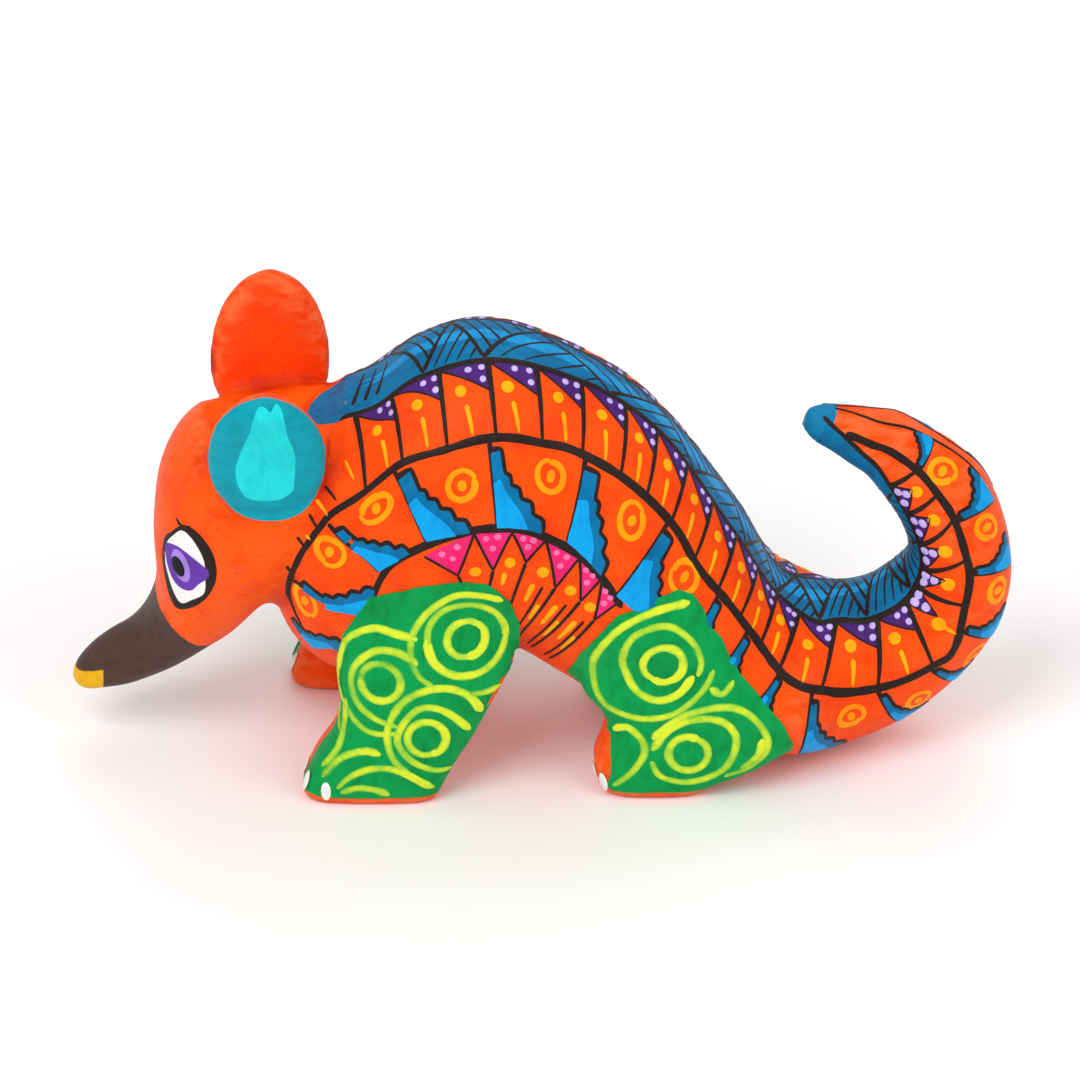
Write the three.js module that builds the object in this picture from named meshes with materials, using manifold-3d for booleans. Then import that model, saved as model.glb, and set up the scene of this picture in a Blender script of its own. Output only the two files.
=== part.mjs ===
// A small carved wooden animal that walks on four short legs, with a humped back,
// a long snout, two round ears and a thick tail that curls up behind it.
// Millimetres, +Z up, head towards -X. The origin is on the ground, under the middle.
import * as THREE from "three";
import { mergeVertices } from "three/addons/utils/BufferGeometryUtils.js";
import Module from "manifold-3d";

// Trunk
const trunkLength = 57.2; // neck joint to tail joint, along X
const trunkHeight = 55; // ground to the top of the back
const trunkWidth = 31.6;
const neckX = -27.3; // middle of the neck joint

// Head
const headLength = 27.6; // neck joint to nose tip, along X
const headWidth = 24;
const headDepth = 27.8; // across the skull, brow to jaw
const noseZ = 7.5; // ground to the middle of the nose tip

// Ears
const earHeight = 19.4;
const earWidth = 14;
const earThickness = 5;
const earInset = 1.7; // low down, from the side of the skull in to the middle of the ear
const earTilt = 14; // degrees outwards
const earRise = 2.4; // neck joint up to the foot of the ear
const earAhead = 4.2; // neck joint forward to the middle of the ear
const earDish = 0.7; // depth of the hollow in the outer face

// Tail
const tailReach = 19.8; // tail joint to the rearmost middle line
const tailRise = 34.2; // tail joint up to the tip
const tailStepIn = 0.1; // the tail's first rib is this much slighter than the rump, all round

// Legs
const frontStance = 32.2; // over the outer edges of the soles
const hindStance = 30.4;
const legThickness = 8.2;
const frontFootLength = 15;
const hindFootLength = 12;
const frontSoleBack = 7.5; // neck joint back to the middle of the front sole
const stride = 1.8; // the left front leg stands this much further forward
const hindSoleAhead = 16.6; // tail joint forward to the middle of the hind sole
const frontShoulder = { back: 14, rise: 0.35, radius: 11.2 }; // rise is a share of the trunk
const hindHaunch = { ahead: 15.6, rise: 0.335, radius: 10.6 };

// Joints: glued faces, each held by a hidden dowel
const glueGap = 0.3;
const boreClearance = 0.15; // round each dowel
const boreEnd = 0.5; // past each end of a dowel
const neckDowel = { diameter: 4, length: 13 };
const tailDowel = { diameter: 4, length: 12 };
const earDowel = { diameter: 2, length: 6.5 };
const legDowel = { diameter: 3, length: 9 };

// Fineness
const ringSides = 24;
const stepsPerRib = 2;
const dowelSides = 16;
const farAway = 90; // longer than anything that is cut

const wasm = await Module();
wasm.setup();

function toSolid(geometry) {
  const bare = geometry.clone();
  bare.deleteAttribute("normal");
  bare.deleteAttribute("uv");
  const merged = mergeVertices(bare, 1e-4);
  const mesh = new wasm.Mesh({
    numProp: 3,
    vertProperties: new Float32Array(merged.attributes.position.array),
    triVerts: new Uint32Array(merged.index.array),
  });
  return new wasm.Manifold(mesh);
}

function toGeometry(solid) {
  const { vertProperties, triVerts, numProp } = solid.getMesh();
  const positions = new Float32Array((vertProperties.length / numProp) * 3);
  for (let i = 0; i < positions.length / 3; i += 1) {
    for (let axis = 0; axis < 3; axis += 1) {
      positions[i * 3 + axis] = vertProperties[i * numProp + axis];
    }
  }
  const geometry = new THREE.BufferGeometry();
  geometry.setAttribute("position", new THREE.BufferAttribute(positions, 3));
  geometry.setIndex(new THREE.BufferAttribute(new Uint32Array(triVerts), 1));
  return geometry.toNonIndexed();
}

// Catmull-Rom value between b and c, whose outer neighbours are a and d.
function smooth(a, b, c, d, t) {
  const slopeB = (c - a) / 2;
  const slopeC = (d - b) / 2;
  const square = t * t;
  const cube = square * t;
  return (
    (2 * cube - 3 * square + 1) * b +
    (cube - 2 * square + t) * slopeB +
    (3 * square - 2 * cube) * c +
    (cube - square) * slopeC
  );
}

// Ribs with smooth in-between ribs: every field of a rib is a number.
function refine(ribs, steps) {
  const fine = [];
  const last = ribs.length - 1;
  for (let i = 0; i < last; i += 1) {
    const four = [ribs[Math.max(i - 1, 0)], ribs[i], ribs[i + 1], ribs[Math.min(i + 2, last)]];
    for (let step = 0; step < steps; step += 1) {
      const rib = {};
      for (const key of Object.keys(ribs[i])) {
        rib[key] = smooth(...four.map((each) => each[key]), step / steps);
      }
      fine.push(rib);
    }
  }
  fine.push(ribs[last]);
  return fine;
}

// A closed skin over rings of points, with a middle point at each end.
function skinOver(rings, start, end) {
  const sides = rings[0].length;
  const points = [start, ...rings.flat(), end];
  const faces = [];
  const at = (ring, side) => 1 + ring * sides + (side % sides);
  for (let side = 0; side < sides; side += 1) {
    faces.push(0, at(0, side + 1), at(0, side));
    for (let ring = 0; ring + 1 < rings.length; ring += 1) {
      faces.push(at(ring, side), at(ring, side + 1), at(ring + 1, side));
      faces.push(at(ring + 1, side), at(ring, side + 1), at(ring + 1, side + 1));
    }
    faces.push(at(rings.length - 1, side), at(rings.length - 1, side + 1), points.length - 1);
  }
  const geometry = new THREE.BufferGeometry().setFromPoints(points);
  geometry.setIndex(faces);
  const solid = toSolid(geometry);
  if (solid.volume() > 0) {
    return solid;
  }
  const turned = [];
  for (let i = 0; i < faces.length; i += 3) {
    turned.push(faces[i], faces[i + 2], faces[i + 1]);
  }
  geometry.setIndex(turned);
  return toSolid(geometry);
}

// A body along the middle plane. A rib stands across it, its top leaning by `lean` degrees
// towards the head, with half its height in `high` and half its width in `wide`.
function ribFrame(rib) {
  const lean = THREE.MathUtils.degToRad(rib.lean);
  const up = new THREE.Vector3(-Math.sin(lean), 0, Math.cos(lean));
  const ahead = new THREE.Vector3(Math.cos(lean), 0, Math.sin(lean));
  return { middle: new THREE.Vector3(rib.x, 0, rib.z), up, ahead };
}

function bodyLoft(ribs, steps = stepsPerRib) {
  const rings = refine(ribs, steps).map((rib) => {
    const { middle, up } = ribFrame(rib);
    const ring = [];
    for (let side = 0; side < ringSides; side += 1) {
      const turn = (2 * Math.PI * side) / ringSides;
      const point = middle.clone().addScaledVector(up, rib.high * Math.cos(turn));
      point.y = rib.wide * Math.sin(turn);
      ring.push(point);
    }
    return ring;
  });
  return skinOver(rings, ribFrame(ribs[0]).middle, ribFrame(ribs.at(-1)).middle);
}

// A block that covers a joint's section and everything near it on one side: ahead, or behind.
function beyond(rib, isAhead, gap) {
  const { middle, ahead } = ribFrame(rib);
  const side = isAhead ? 1 : -1;
  const depth = 2 * rib.high;
  const box = new THREE.BoxGeometry(depth, 4 * rib.wide, 3.2 * rib.high);
  box.rotateY(-THREE.MathUtils.degToRad(rib.lean));
  const shift = middle.addScaledVector(ahead, side * (depth / 2 + gap));
  box.translate(shift.x, shift.y, shift.z);
  return toSolid(box);
}

function grown(rib, amount) {
  return { ...rib, high: rib.high + amount, wide: rib.wide + amount };
}

// A round rod, or the bore for it, with its middle at `centre`, along `along`.
function rod(dowel, centre, along, clearance = 0, end = 0) {
  const radius = dowel.diameter / 2 + clearance;
  const length = dowel.length + 2 * end;
  const cylinder = new THREE.CylinderGeometry(radius, radius, length, dowelSides);
  const turn = new THREE.Quaternion().setFromUnitVectors(
    new THREE.Vector3(0, 1, 0),
    along.clone().normalize(),
  );
  cylinder.applyQuaternion(turn);
  cylinder.translate(centre.x, centre.y, centre.z);
  return toSolid(cylinder);
}

const boreFor = (dowel, centre, along) => rod(dowel, centre, along, boreClearance, boreEnd);

// Trunk: `along` runs from the neck joint to the tail joint, heights are shares of the
// trunk's height, and widths are shares of its width.
const trunkShape = [
  { along: 0, rise: 0.618, lean: -17, high: 0.253, wide: 0.73 },
  { along: 0.063, rise: 0.58, lean: -16, high: 0.324, wide: 0.85 },
  { along: 0.156, rise: 0.576, lean: -11, high: 0.392, wide: 0.95 },
  { along: 0.295, rise: 0.606, lean: -4, high: 0.396, wide: 1 },
  { along: 0.4, rise: 0.627, lean: -4, high: 0.366, wide: 1 },
  { along: 0.49, rise: 0.595, lean: -18, high: 0.335, wide: 1 },
  { along: 0.58, rise: 0.524, lean: -30, high: 0.305, wide: 0.99 },
  { along: 0.724, rise: 0.36, lean: -41, high: 0.253, wide: 0.96 },
  { along: 0.867, rise: 0.233, lean: -28, high: 0.195, wide: 0.92 },
  { along: 1, rise: 0.178, lean: -8, high: 0.171, wide: 0.9 },
];
const trunkRibs = trunkShape.map(({ along, rise, lean, high, wide }) => ({
  x: neckX + along * trunkLength,
  z: rise * trunkHeight,
  lean,
  high: high * trunkHeight,
  wide: (wide * trunkWidth) / 2,
}));
const neckRib = trunkRibs[0];
const rumpRib = trunkRibs.at(-1);

// Head: from the neck joint towards the nose.
const headShape = [
  { along: 0.175, drop: 0.038, lean: -4, high: 0.985, wide: 1 },
  { along: 0.35, drop: 0.125, lean: 10, high: 0.99, wide: 0.97 },
  { along: 0.46, drop: 0.266, lean: 17, high: 0.9, wide: 0.85 },
  { along: 0.524, drop: 0.457, lean: 20, high: 0.67, wide: 0.71 },
  { along: 0.565, drop: 0.64, lean: 20, high: 0.425, wide: 0.55 },
  { along: 0.622, drop: 0.75, lean: 19, high: 0.31, wide: 0.46 },
  { along: 0.702, drop: 0.83, lean: 20, high: 0.255, wide: 0.385 },
  { along: 0.8, drop: 0.887, lean: 20, high: 0.235, wide: 0.33 },
  { along: 0.89, drop: 0.936, lean: 22, high: 0.19, wide: 0.265 },
  { along: 0.96, drop: 0.98, lean: 26, high: 0.125, wide: 0.185 },
  { along: 0.993, drop: 1, lean: 30, high: 0.05, wide: 0.08 },
];
const headRibs = headShape.map(({ along, drop, lean, high, wide }) => ({
  x: neckX - along * headLength,
  z: neckRib.z - drop * (neckRib.z - noseZ),
  lean,
  high: (high * headDepth) / 2,
  wide: (wide * headWidth) / 2,
}));

// Tail: back from the rump, up, and forwards over itself to a blunt tip.
const tailShape = [
  { back: 0.32, rise: 0.01, lean: 10, thick: 1, flat: 1.04 },
  { back: 0.62, rise: 0.1, lean: 31, thick: 0.88, flat: 1.02 },
  { back: 0.89, rise: 0.275, lean: 56, thick: 0.77, flat: 1 },
  { back: 0.97, rise: 0.46, lean: 85, thick: 0.645, flat: 1 },
  { back: 0.845, rise: 0.693, lean: 118, thick: 0.6, flat: 1 },
  { back: 0.545, rise: 0.872, lean: 144, thick: 0.46, flat: 1 },
  { back: 0.385, rise: 0.915, lean: 154, thick: 0.385, flat: 1 },
  { back: 0.245, rise: 0.95, lean: 158, thick: 0.31, flat: 1 },
  { back: 0.12, rise: 0.978, lean: 158, thick: 0.235, flat: 1 },
  { back: 0.045, rise: 0.995, lean: 158, thick: 0.12, flat: 1 },
];
const tailHalf = rumpRib.high - tailStepIn;
const tailRibs = tailShape.map(({ back, rise, lean, thick, flat }) => ({
  x: rumpRib.x + back * tailReach,
  z: rumpRib.z + rise * tailRise,
  lean,
  high: thick * tailHalf,
  wide: thick * flat * tailHalf,
}));

// Legs: level slices from the sole up, on the side y > 0. `up` is a share of the height of
// the shoulder's top, `shift` and `long` are shares of the foot's length, measured from the
// middle of the sole, and `round` is 1 for an ellipse and less for a squarer slice.
const frontLegShape = [
  { up: 0, shift: 0.02, long: 1, thick: 0.88, round: 0.5 },
  { up: 0.033, shift: 0.01, long: 1.08, thick: 0.98, round: 0.5 },
  { up: 0.165, shift: 0.12, long: 1.1, thick: 1, round: 0.52 },
  { up: 0.28, shift: 0.26, long: 1.11, thick: 1, round: 0.56 },
  { up: 0.395, shift: 0.35, long: 1.15, thick: 1, round: 0.62 },
  { up: 0.51, shift: 0.4, long: 1.28, thick: 1, round: 0.75 },
  { up: 0.642, shift: 0.44, long: 1.38, thick: 0.96, round: 0.9 },
  { up: 0.79, shift: 0.44, long: 1.2, thick: 0.86, round: 1 },
  { up: 0.921, shift: 0.43, long: 0.8, thick: 0.66, round: 1 },
  { up: 0.987, shift: 0.43, long: 0.3, thick: 0.4, round: 1 },
];
const hindLegShape = [
  { up: 0, shift: 0, long: 0.86, thick: 0.78, round: 0.55 },
  { up: 0.041, shift: 0.04, long: 1.14, thick: 0.92, round: 0.55 },
  { up: 0.155, shift: 0.3, long: 1.76, thick: 0.97, round: 0.6 },
  { up: 0.259, shift: 0.46, long: 1.92, thick: 1, round: 0.62 },
  { up: 0.362, shift: 0.43, long: 1.84, thick: 1, round: 0.66 },
  { up: 0.483, shift: 0.26, long: 1.9, thick: 0.98, round: 0.75 },
  { up: 0.638, shift: 0.08, long: 1.66, thick: 0.92, round: 0.9 },
  { up: 0.793, shift: 0.08, long: 1.3, thick: 0.78, round: 1 },
  { up: 0.914, shift: 0.08, long: 0.8, thick: 0.6, round: 1 },
  { up: 0.979, shift: 0.08, long: 0.3, thick: 0.3, round: 1 },
];

function legLoft({ shape, shoulder, footX, footLength, stance }, side) {
  const middleY = stance / 2 - legThickness / 2;
  const top = shoulder.z + shoulder.radius;
  const slices = refine(shape, stepsPerRib);
  const rings = slices.map(({ up, shift, long, thick, round }) => {
    const corner = (value) => Math.sign(value) * Math.abs(value) ** round;
    const ring = [];
    for (let i = 0; i < ringSides; i += 1) {
      const turn = (2 * Math.PI * i) / ringSides;
      const x = footX + shift * footLength + (corner(Math.cos(turn)) * long * footLength) / 2;
      const y = middleY + (corner(Math.sin(turn)) * thick * legThickness) / 2;
      ring.push(new THREE.Vector3(x, side * y, up * top));
    }
    return ring;
  });
  const centre = ({ up, shift }) =>
    new THREE.Vector3(footX + shift * footLength, side * middleY, up * top);
  return skinOver(rings, centre(shape[0]), centre(shape.at(-1)));
}

// The housing that a leg fills: a rounded shoulder over a tapering column, cut straight in
// from the side as far as the glued face.
function housing({ shoulder, footX, footLength, stance, heelZ }, side, extra = 0) {
  const glueFaceY = stance / 2 - legThickness - extra;
  const radius = shoulder.radius + extra;
  const reach = 1.35 * footLength + extra;
  const outline = new THREE.Shape();
  outline.moveTo(footX - reach, -1);
  outline.lineTo(footX + reach, -1);
  outline.lineTo(footX + reach, heelZ);
  outline.absarc(shoulder.x, shoulder.z, radius, -0.35, Math.PI + 0.35, false);
  outline.closePath();
  const slab = new THREE.ExtrudeGeometry(outline, {
    depth: farAway,
    bevelEnabled: false,
    curveSegments: 12,
  });
  slab.rotateX(Math.PI / 2);
  slab.translate(0, side > 0 ? glueFaceY + farAway : -glueFaceY, 0);
  return toSolid(slab);
}

// An ear on the side y > 0 before it is mirrored: a rounded petal that leans outwards.
const earShape = [
  { up: 0.03, wide: 0.22, thick: 0.5 },
  { up: 0.07, wide: 0.5, thick: 0.78 },
  { up: 0.17, wide: 0.8, thick: 0.96 },
  { up: 0.32, wide: 0.97, thick: 1 },
  { up: 0.5, wide: 0.98, thick: 0.98 },
  { up: 0.66, wide: 0.87, thick: 0.92 },
  { up: 0.8, wide: 0.7, thick: 0.82 },
  { up: 0.91, wide: 0.5, thick: 0.68 },
  { up: 0.975, wide: 0.27, thick: 0.46 },
];

const earX = neckX - earAhead;
const earMiddleY = headWidth / 2 - earInset;
const earFootZ = neckRib.z + earRise;

function earPoint(up, out) {
  const tilt = THREE.MathUtils.degToRad(earTilt);
  const rise = up * earHeight;
  const y = earMiddleY + rise * Math.sin(tilt) + out * Math.cos(tilt) - earThickness / 4;
  return { y, z: earFootZ + rise * Math.cos(tilt) - out * Math.sin(tilt) };
}

function earLoft(side) {
  const rings = refine(earShape, stepsPerRib).map(({ up, wide, thick }) => {
    const ring = [];
    for (let i = 0; i < ringSides; i += 1) {
      const turn = (2 * Math.PI * i) / ringSides;
      const across = (Math.cos(turn) * wide * earWidth) / 2;
      const out = (Math.sin(turn) * thick * earThickness) / 2;
      const { y, z } = earPoint(up, out);
      ring.push(new THREE.Vector3(earX + across, side * y, z));
    }
    return ring;
  });
  const end = (up) => {
    const { y, z } = earPoint(up, 0);
    return new THREE.Vector3(earX, side * y, z);
  };
  const petal = skinOver(rings, end(0), end(1));
  const ball = new THREE.SphereGeometry(1, 24, 16);
  ball.scale(earWidth * 0.42, 2 * earDish, earHeight * 0.41);
  ball.rotateX(-side * THREE.MathUtils.degToRad(earTilt));
  const { y, z } = earPoint(0.48, earThickness * 0.2 + 2 * earDish);
  ball.translate(earX, side * y, z);
  return petal.subtract(toSolid(ball));
}

// Whole body shapes, before they are parted
const neckToNose = [neckRib, ...headRibs];
const rumpToTip = [rumpRib, ...tailRibs];
const wholeTrunk = bodyLoft(trunkRibs);

const sides = [
  { name: "right", side: -1 },
  { name: "left", side: 1 },
];
const legKinds = [
  {
    name: "front_leg",
    shape: frontLegShape,
    footX: neckX + frontSoleBack,
    footLength: frontFootLength,
    shoulder: {
      x: neckX + frontShoulder.back,
      z: frontShoulder.rise * trunkHeight,
      radius: frontShoulder.radius,
    },
    stance: frontStance,
    heelZ: 0,
    stepAhead: stride,
  },
  {
    name: "hind_leg",
    shape: hindLegShape,
    footX: rumpRib.x - hindSoleAhead,
    footLength: hindFootLength,
    shoulder: {
      x: rumpRib.x - hindHaunch.ahead,
      z: hindHaunch.rise * trunkHeight,
      radius: hindHaunch.radius,
    },
    stance: hindStance,
    heelZ: 7,
    stepAhead: 0,
  },
];

const paint = {
  orange: { color: 0xfb4e02, roughness: 0.55, metalness: 0 },
  green: { color: 0x00a050, roughness: 0.55, metalness: 0 },
  teal: { color: 0x05a2b5, roughness: 0.55, metalness: 0 },
  bareWood: { color: 0xd9b98a, roughness: 0.8, metalness: 0 },
};

const figure = new THREE.Group();

function addPiece(name, solid, finish) {
  const mesh = new THREE.Mesh(toGeometry(solid), new THREE.MeshStandardMaterial(finish));
  mesh.name = name;
  figure.add(mesh);
}

// Neck
const neckAxis = ribFrame(neckRib).ahead;
const neckMiddle = ribFrame(neckRib).middle;
const neckBore = boreFor(neckDowel, neckMiddle, neckAxis);
addPiece("neck_dowel", rod(neckDowel, neckMiddle, neckAxis), paint.bareWood);

// Tail joint
const tailAxis = ribFrame(rumpRib).ahead;
const tailMiddle = ribFrame(rumpRib).middle;
const tailBore = boreFor(tailDowel, tailMiddle, tailAxis);
addPiece("tail_dowel", rod(tailDowel, tailMiddle, tailAxis), paint.bareWood);
const tail = bodyLoft(rumpToTip)
  .subtract(beyond(rumpRib, false, -glueGap / 2))
  .subtract(tailBore);
addPiece("tail", tail, paint.orange);

// Legs
let trunk = wholeTrunk
  .subtract(beyond(neckRib, false, -glueGap / 2))
  .subtract(beyond(rumpRib, true, -glueGap / 2))
  .subtract(neckBore)
  .subtract(tailBore);
const trunkSlice = wholeTrunk
  .subtract(beyond(neckRib, false, -glueGap / 2))
  .subtract(beyond(rumpRib, true, -glueGap / 2));
for (const { name: sideName, side } of sides) {
  for (const kind of legKinds) {
    const ahead = side > 0 ? kind.stepAhead : 0;
    const shoulder = { ...kind.shoulder, x: kind.shoulder.x - ahead };
    const limb = { ...kind, shoulder, footX: kind.footX - ahead };
    const glueFaceY = kind.stance / 2 - legThickness - glueGap / 2;
    const centre = new THREE.Vector3(shoulder.x, side * glueFaceY, shoulder.z);
    const across = new THREE.Vector3(0, 1, 0);
    const bore = boreFor(legDowel, centre, across);
    const leg = legLoft(limb, side)
      .add(trunkSlice)
      .intersect(housing(limb, side))
      .subtract(bore);
    trunk = trunk.subtract(housing(limb, side, glueGap)).subtract(bore);
    addPiece(`${kind.name}_${sideName}`, leg, paint.green);
    addPiece(`${kind.name}_dowel_${sideName}`, rod(legDowel, centre, across), paint.bareWood);
  }
}
addPiece("trunk", trunk, paint.orange);

// Head and ears
let head = bodyLoft(neckToNose)
  .subtract(beyond(neckRib, true, -glueGap / 2))
  .subtract(neckBore);
const grownHead = bodyLoft(neckToNose.map((rib) => grown(rib, glueGap)));
for (const { name, side } of sides) {
  const low = earPoint(0.16, 0);
  const centre = new THREE.Vector3(earX, side * (low.y - earThickness / 2), low.z);
  const inwards = new THREE.Vector3(0, 1, -side * 0.35);
  const bore = boreFor(earDowel, centre, inwards);
  head = head.subtract(bore);
  addPiece(`${name}_ear`, earLoft(side).subtract(grownHead).subtract(bore), paint.teal);
  addPiece(`${name}_ear_dowel`, rod(earDowel, centre, inwards), paint.bareWood);
}
addPiece("head", head, paint.orange);

export default figure;
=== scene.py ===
import math
import random

import bmesh
import bpy
import numpy as np
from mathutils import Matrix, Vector, geometry, noise
from mathutils.bvhtree import BVHTree


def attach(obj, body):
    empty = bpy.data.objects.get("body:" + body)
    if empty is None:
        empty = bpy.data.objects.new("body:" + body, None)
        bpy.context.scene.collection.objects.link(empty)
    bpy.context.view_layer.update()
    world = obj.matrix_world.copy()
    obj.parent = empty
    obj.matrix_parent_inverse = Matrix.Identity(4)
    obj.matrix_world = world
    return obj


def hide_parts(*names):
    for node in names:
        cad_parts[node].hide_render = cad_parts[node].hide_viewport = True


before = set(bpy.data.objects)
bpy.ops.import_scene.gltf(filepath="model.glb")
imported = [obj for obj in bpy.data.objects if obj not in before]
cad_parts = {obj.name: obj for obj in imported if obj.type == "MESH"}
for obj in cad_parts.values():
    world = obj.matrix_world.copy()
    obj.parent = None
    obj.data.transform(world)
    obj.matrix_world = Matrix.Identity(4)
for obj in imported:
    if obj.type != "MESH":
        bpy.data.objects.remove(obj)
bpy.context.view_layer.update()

# Sizes below are in millimetres and are scaled once, on their way into a mesh.
mm = 0.001
right, left = -1, 1  # the two flanks, by the sign of y

viewpoint = {
    "elevation": 33,  # degrees above the ground
    "distance": 1500,
    "lens": 428,
    "target": (0, 0, 26.7),
}


def addCamera():
    lens = bpy.data.cameras.new("camera")
    lens.lens = viewpoint["lens"]
    lens.clip_start = 0.05
    lens.clip_end = 20
    camera = bpy.data.objects.new("camera", lens)
    bpy.context.scene.collection.objects.link(camera)
    lift = math.radians(viewpoint["elevation"])
    away = Vector((0, -math.cos(lift), math.sin(lift)))
    camera.location = (Vector(viewpoint["target"]) + away * viewpoint["distance"]) * mm
    camera.rotation_euler = (math.pi / 2 - lift, 0, 0)
    bpy.context.scene.camera = camera


addCamera()
print("camera placed")


# A wire is one output socket of a node tree, and sums on wires add Math nodes.
class Wire:
    def __init__(self, graph, socket):
        self.graph = graph
        self.socket = socket

    def sum(self, operation, first, second=0.0):
        return self.graph.node("ShaderNodeMath", {"operation": operation}, {0: first, 1: second})

    def __add__(self, other):
        return self.sum("ADD", self, other)

    def __radd__(self, other):
        return self.sum("ADD", other, self)

    def __sub__(self, other):
        return self.sum("SUBTRACT", self, other)

    def __rsub__(self, other):
        return self.sum("SUBTRACT", other, self)

    def __mul__(self, other):
        return self.sum("MULTIPLY", self, other)

    def __rmul__(self, other):
        return self.sum("MULTIPLY", other, self)

    def __truediv__(self, other):
        return self.sum("DIVIDE", self, other)

    def __gt__(self, other):
        return self.sum("GREATER_THAN", self, other)

    def __lt__(self, other):
        return self.sum("LESS_THAN", self, other)

    def __pow__(self, other):
        return self.sum("POWER", self, other)

    def __abs__(self):
        return self.sum("ABSOLUTE", self)

    def sine(self):
        return self.sum("SINE", self)

    def cosine(self):
        return self.sum("COSINE", self)

    def sign(self):
        return self.sum("SIGN", self)

    # 0 below `low`, 1 above `high`, smooth between
    def step(self, low, high):
        return self.graph.node(
            "ShaderNodeMapRange",
            {"interpolation_type": "SMOOTHSTEP"},
            {"Value": self, "From Min": low, "From Max": high},
        )


# A node tree, for a material or for geometry.
class Graph:
    def __init__(self, tree):
        self.tree = tree

    def node(self, kind, settings=None, sockets=None, output=0):
        made = self.tree.nodes.new(kind)
        for name, value in (settings or {}).items():
            if name == "stops":
                self.setStops(made.color_ramp, value)
            else:
                setattr(made, name, value)
        for name, value in (sockets or {}).items():
            if isinstance(value, Wire):
                self.tree.links.new(value.socket, made.inputs[name])
            else:
                made.inputs[name].default_value = value
        return Wire(self, made.outputs[output]) if made.outputs else None

    def setStops(self, ramp, stops):
        while len(ramp.elements) < len(stops):
            ramp.elements.new(1)
        for element, (place, colour) in zip(ramp.elements, stops):
            element.position = place
            element.color = colour

    def split(self, vector):
        kind = "ShaderNodeSeparateXYZ"
        made = self.node(kind, {}, {0: vector})
        return [Wire(self, socket) for socket in made.socket.node.outputs]

    def vector(self, operation, first, second):
        return self.node("ShaderNodeVectorMath", {"operation": operation}, {0: first, 1: second})

    # a blend of two colours by a factor
    def blend(self, factor, first, second, how="MIX"):
        settings = {"data_type": "RGBA", "blend_type": how}
        return self.node("ShaderNodeMix", settings, {0: factor, 6: first, 7: second}, 2)

    def named(self, name, kind="FLOAT"):
        settings = {"data_type": kind}
        return self.node("GeometryNodeInputNamedAttribute", settings, {"Name": name})


# A modifier's tree with the inputs that it offers, its first one being the geometry.
def newGeometryTree(name, inputs):
    tree = bpy.data.node_groups.new(name, "GeometryNodeTree")
    tree.interface.new_socket("Geometry", in_out="INPUT", socket_type="NodeSocketGeometry")
    for label, kind in inputs.items():
        tree.interface.new_socket(label, in_out="INPUT", socket_type=kind)
    tree.interface.new_socket("Geometry", in_out="OUTPUT", socket_type="NodeSocketGeometry")
    graph = Graph(tree)
    first = graph.node("NodeGroupInput")
    offered = {socket.name: Wire(graph, socket) for socket in first.socket.node.outputs}
    return graph, offered


def closeGeometryTree(graph, shape, material):
    whole = graph.node("GeometryNodeRealizeInstances", {}, {0: shape})
    painted = graph.node("GeometryNodeSetMaterial", {}, {"Geometry": whole, "Material": material})
    graph.node("NodeGroupOutput", {}, {0: painted})


# Runs a tree on a mesh and returns the result as a plain object at the origin.
def runTree(name, mesh, graph, values):
    seed = bpy.data.objects.new(name, mesh)
    bpy.context.scene.collection.objects.link(seed)
    modifier = seed.modifiers.new("shape", "NODES")
    modifier.node_group = graph.tree
    for item in graph.tree.interface.items_tree:
        if item.in_out == "INPUT" and item.name in values:
            modifier[item.identifier] = values[item.name]
    return freeze(seed)


# Applies an object's modifiers by replacing it with its evaluated mesh.
def freeze(live):
    ready = live.evaluated_get(bpy.context.evaluated_depsgraph_get())
    mesh = bpy.data.meshes.new_from_object(ready)
    name = live.name
    bpy.data.objects.remove(live)
    mesh.name = name
    plain = bpy.data.objects.new(name, mesh)
    bpy.context.scene.collection.objects.link(plain)
    return plain


# Ribs across the middle plane: x, z, lean in degrees towards the head, half height, half width.
bodyRibs = [
    (-27.3, 34.0, -17, 13.9, 11.5),
    (-23.7, 31.9, -16, 17.8, 13.4),
    (-18.4, 31.7, -11, 21.6, 15.0),
    (-10.4, 33.3, -4, 21.8, 15.8),
    (-4.4, 34.5, -4, 20.1, 15.8),
    (0.7, 32.7, -18, 18.4, 15.8),
    (5.9, 28.8, -30, 16.8, 15.6),
    (14.1, 19.8, -41, 13.9, 15.2),
    (22.3, 12.8, -28, 10.7, 14.5),
    (29.9, 9.8, -8, 9.4, 14.2),
    (36.2, 10.1, 10, 9.3, 9.7),
    (42.2, 13.2, 31, 8.2, 8.4),
    (47.5, 19.2, 56, 7.2, 7.2),
    (49.1, 25.5, 85, 6.0, 6.0),
    (46.6, 33.5, 118, 5.6, 5.6),
    (40.7, 39.6, 144, 4.3, 4.3),
    (37.5, 41.1, 154, 3.6, 3.6),
    (34.8, 42.3, 158, 2.9, 2.9),
    (32.3, 43.2, 158, 2.2, 2.2),
    (30.8, 43.8, 158, 1.1, 1.1),
]
headRibs = [
    (-25.5, 33.4, -14, 13.2, 11.0),
    (-27.3, 34.0, -17, 13.9, 11.5),
    (-32.1, 33.0, -4, 13.7, 12.0),
    (-37.0, 30.7, 10, 13.8, 11.6),
    (-40.0, 26.9, 17, 12.5, 10.2),
    (-41.8, 21.9, 20, 9.3, 8.5),
    (-42.9, 17.0, 20, 5.9, 6.6),
    (-44.5, 14.1, 19, 4.3, 5.5),
    (-46.7, 12.0, 20, 3.5, 4.6),
    (-49.4, 10.5, 20, 3.3, 4.0),
    (-51.9, 9.2, 22, 2.6, 3.2),
    (-53.8, 8.0, 26, 1.7, 2.2),
    (-54.7, 7.5, 30, 0.7, 1.0),
]

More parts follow.
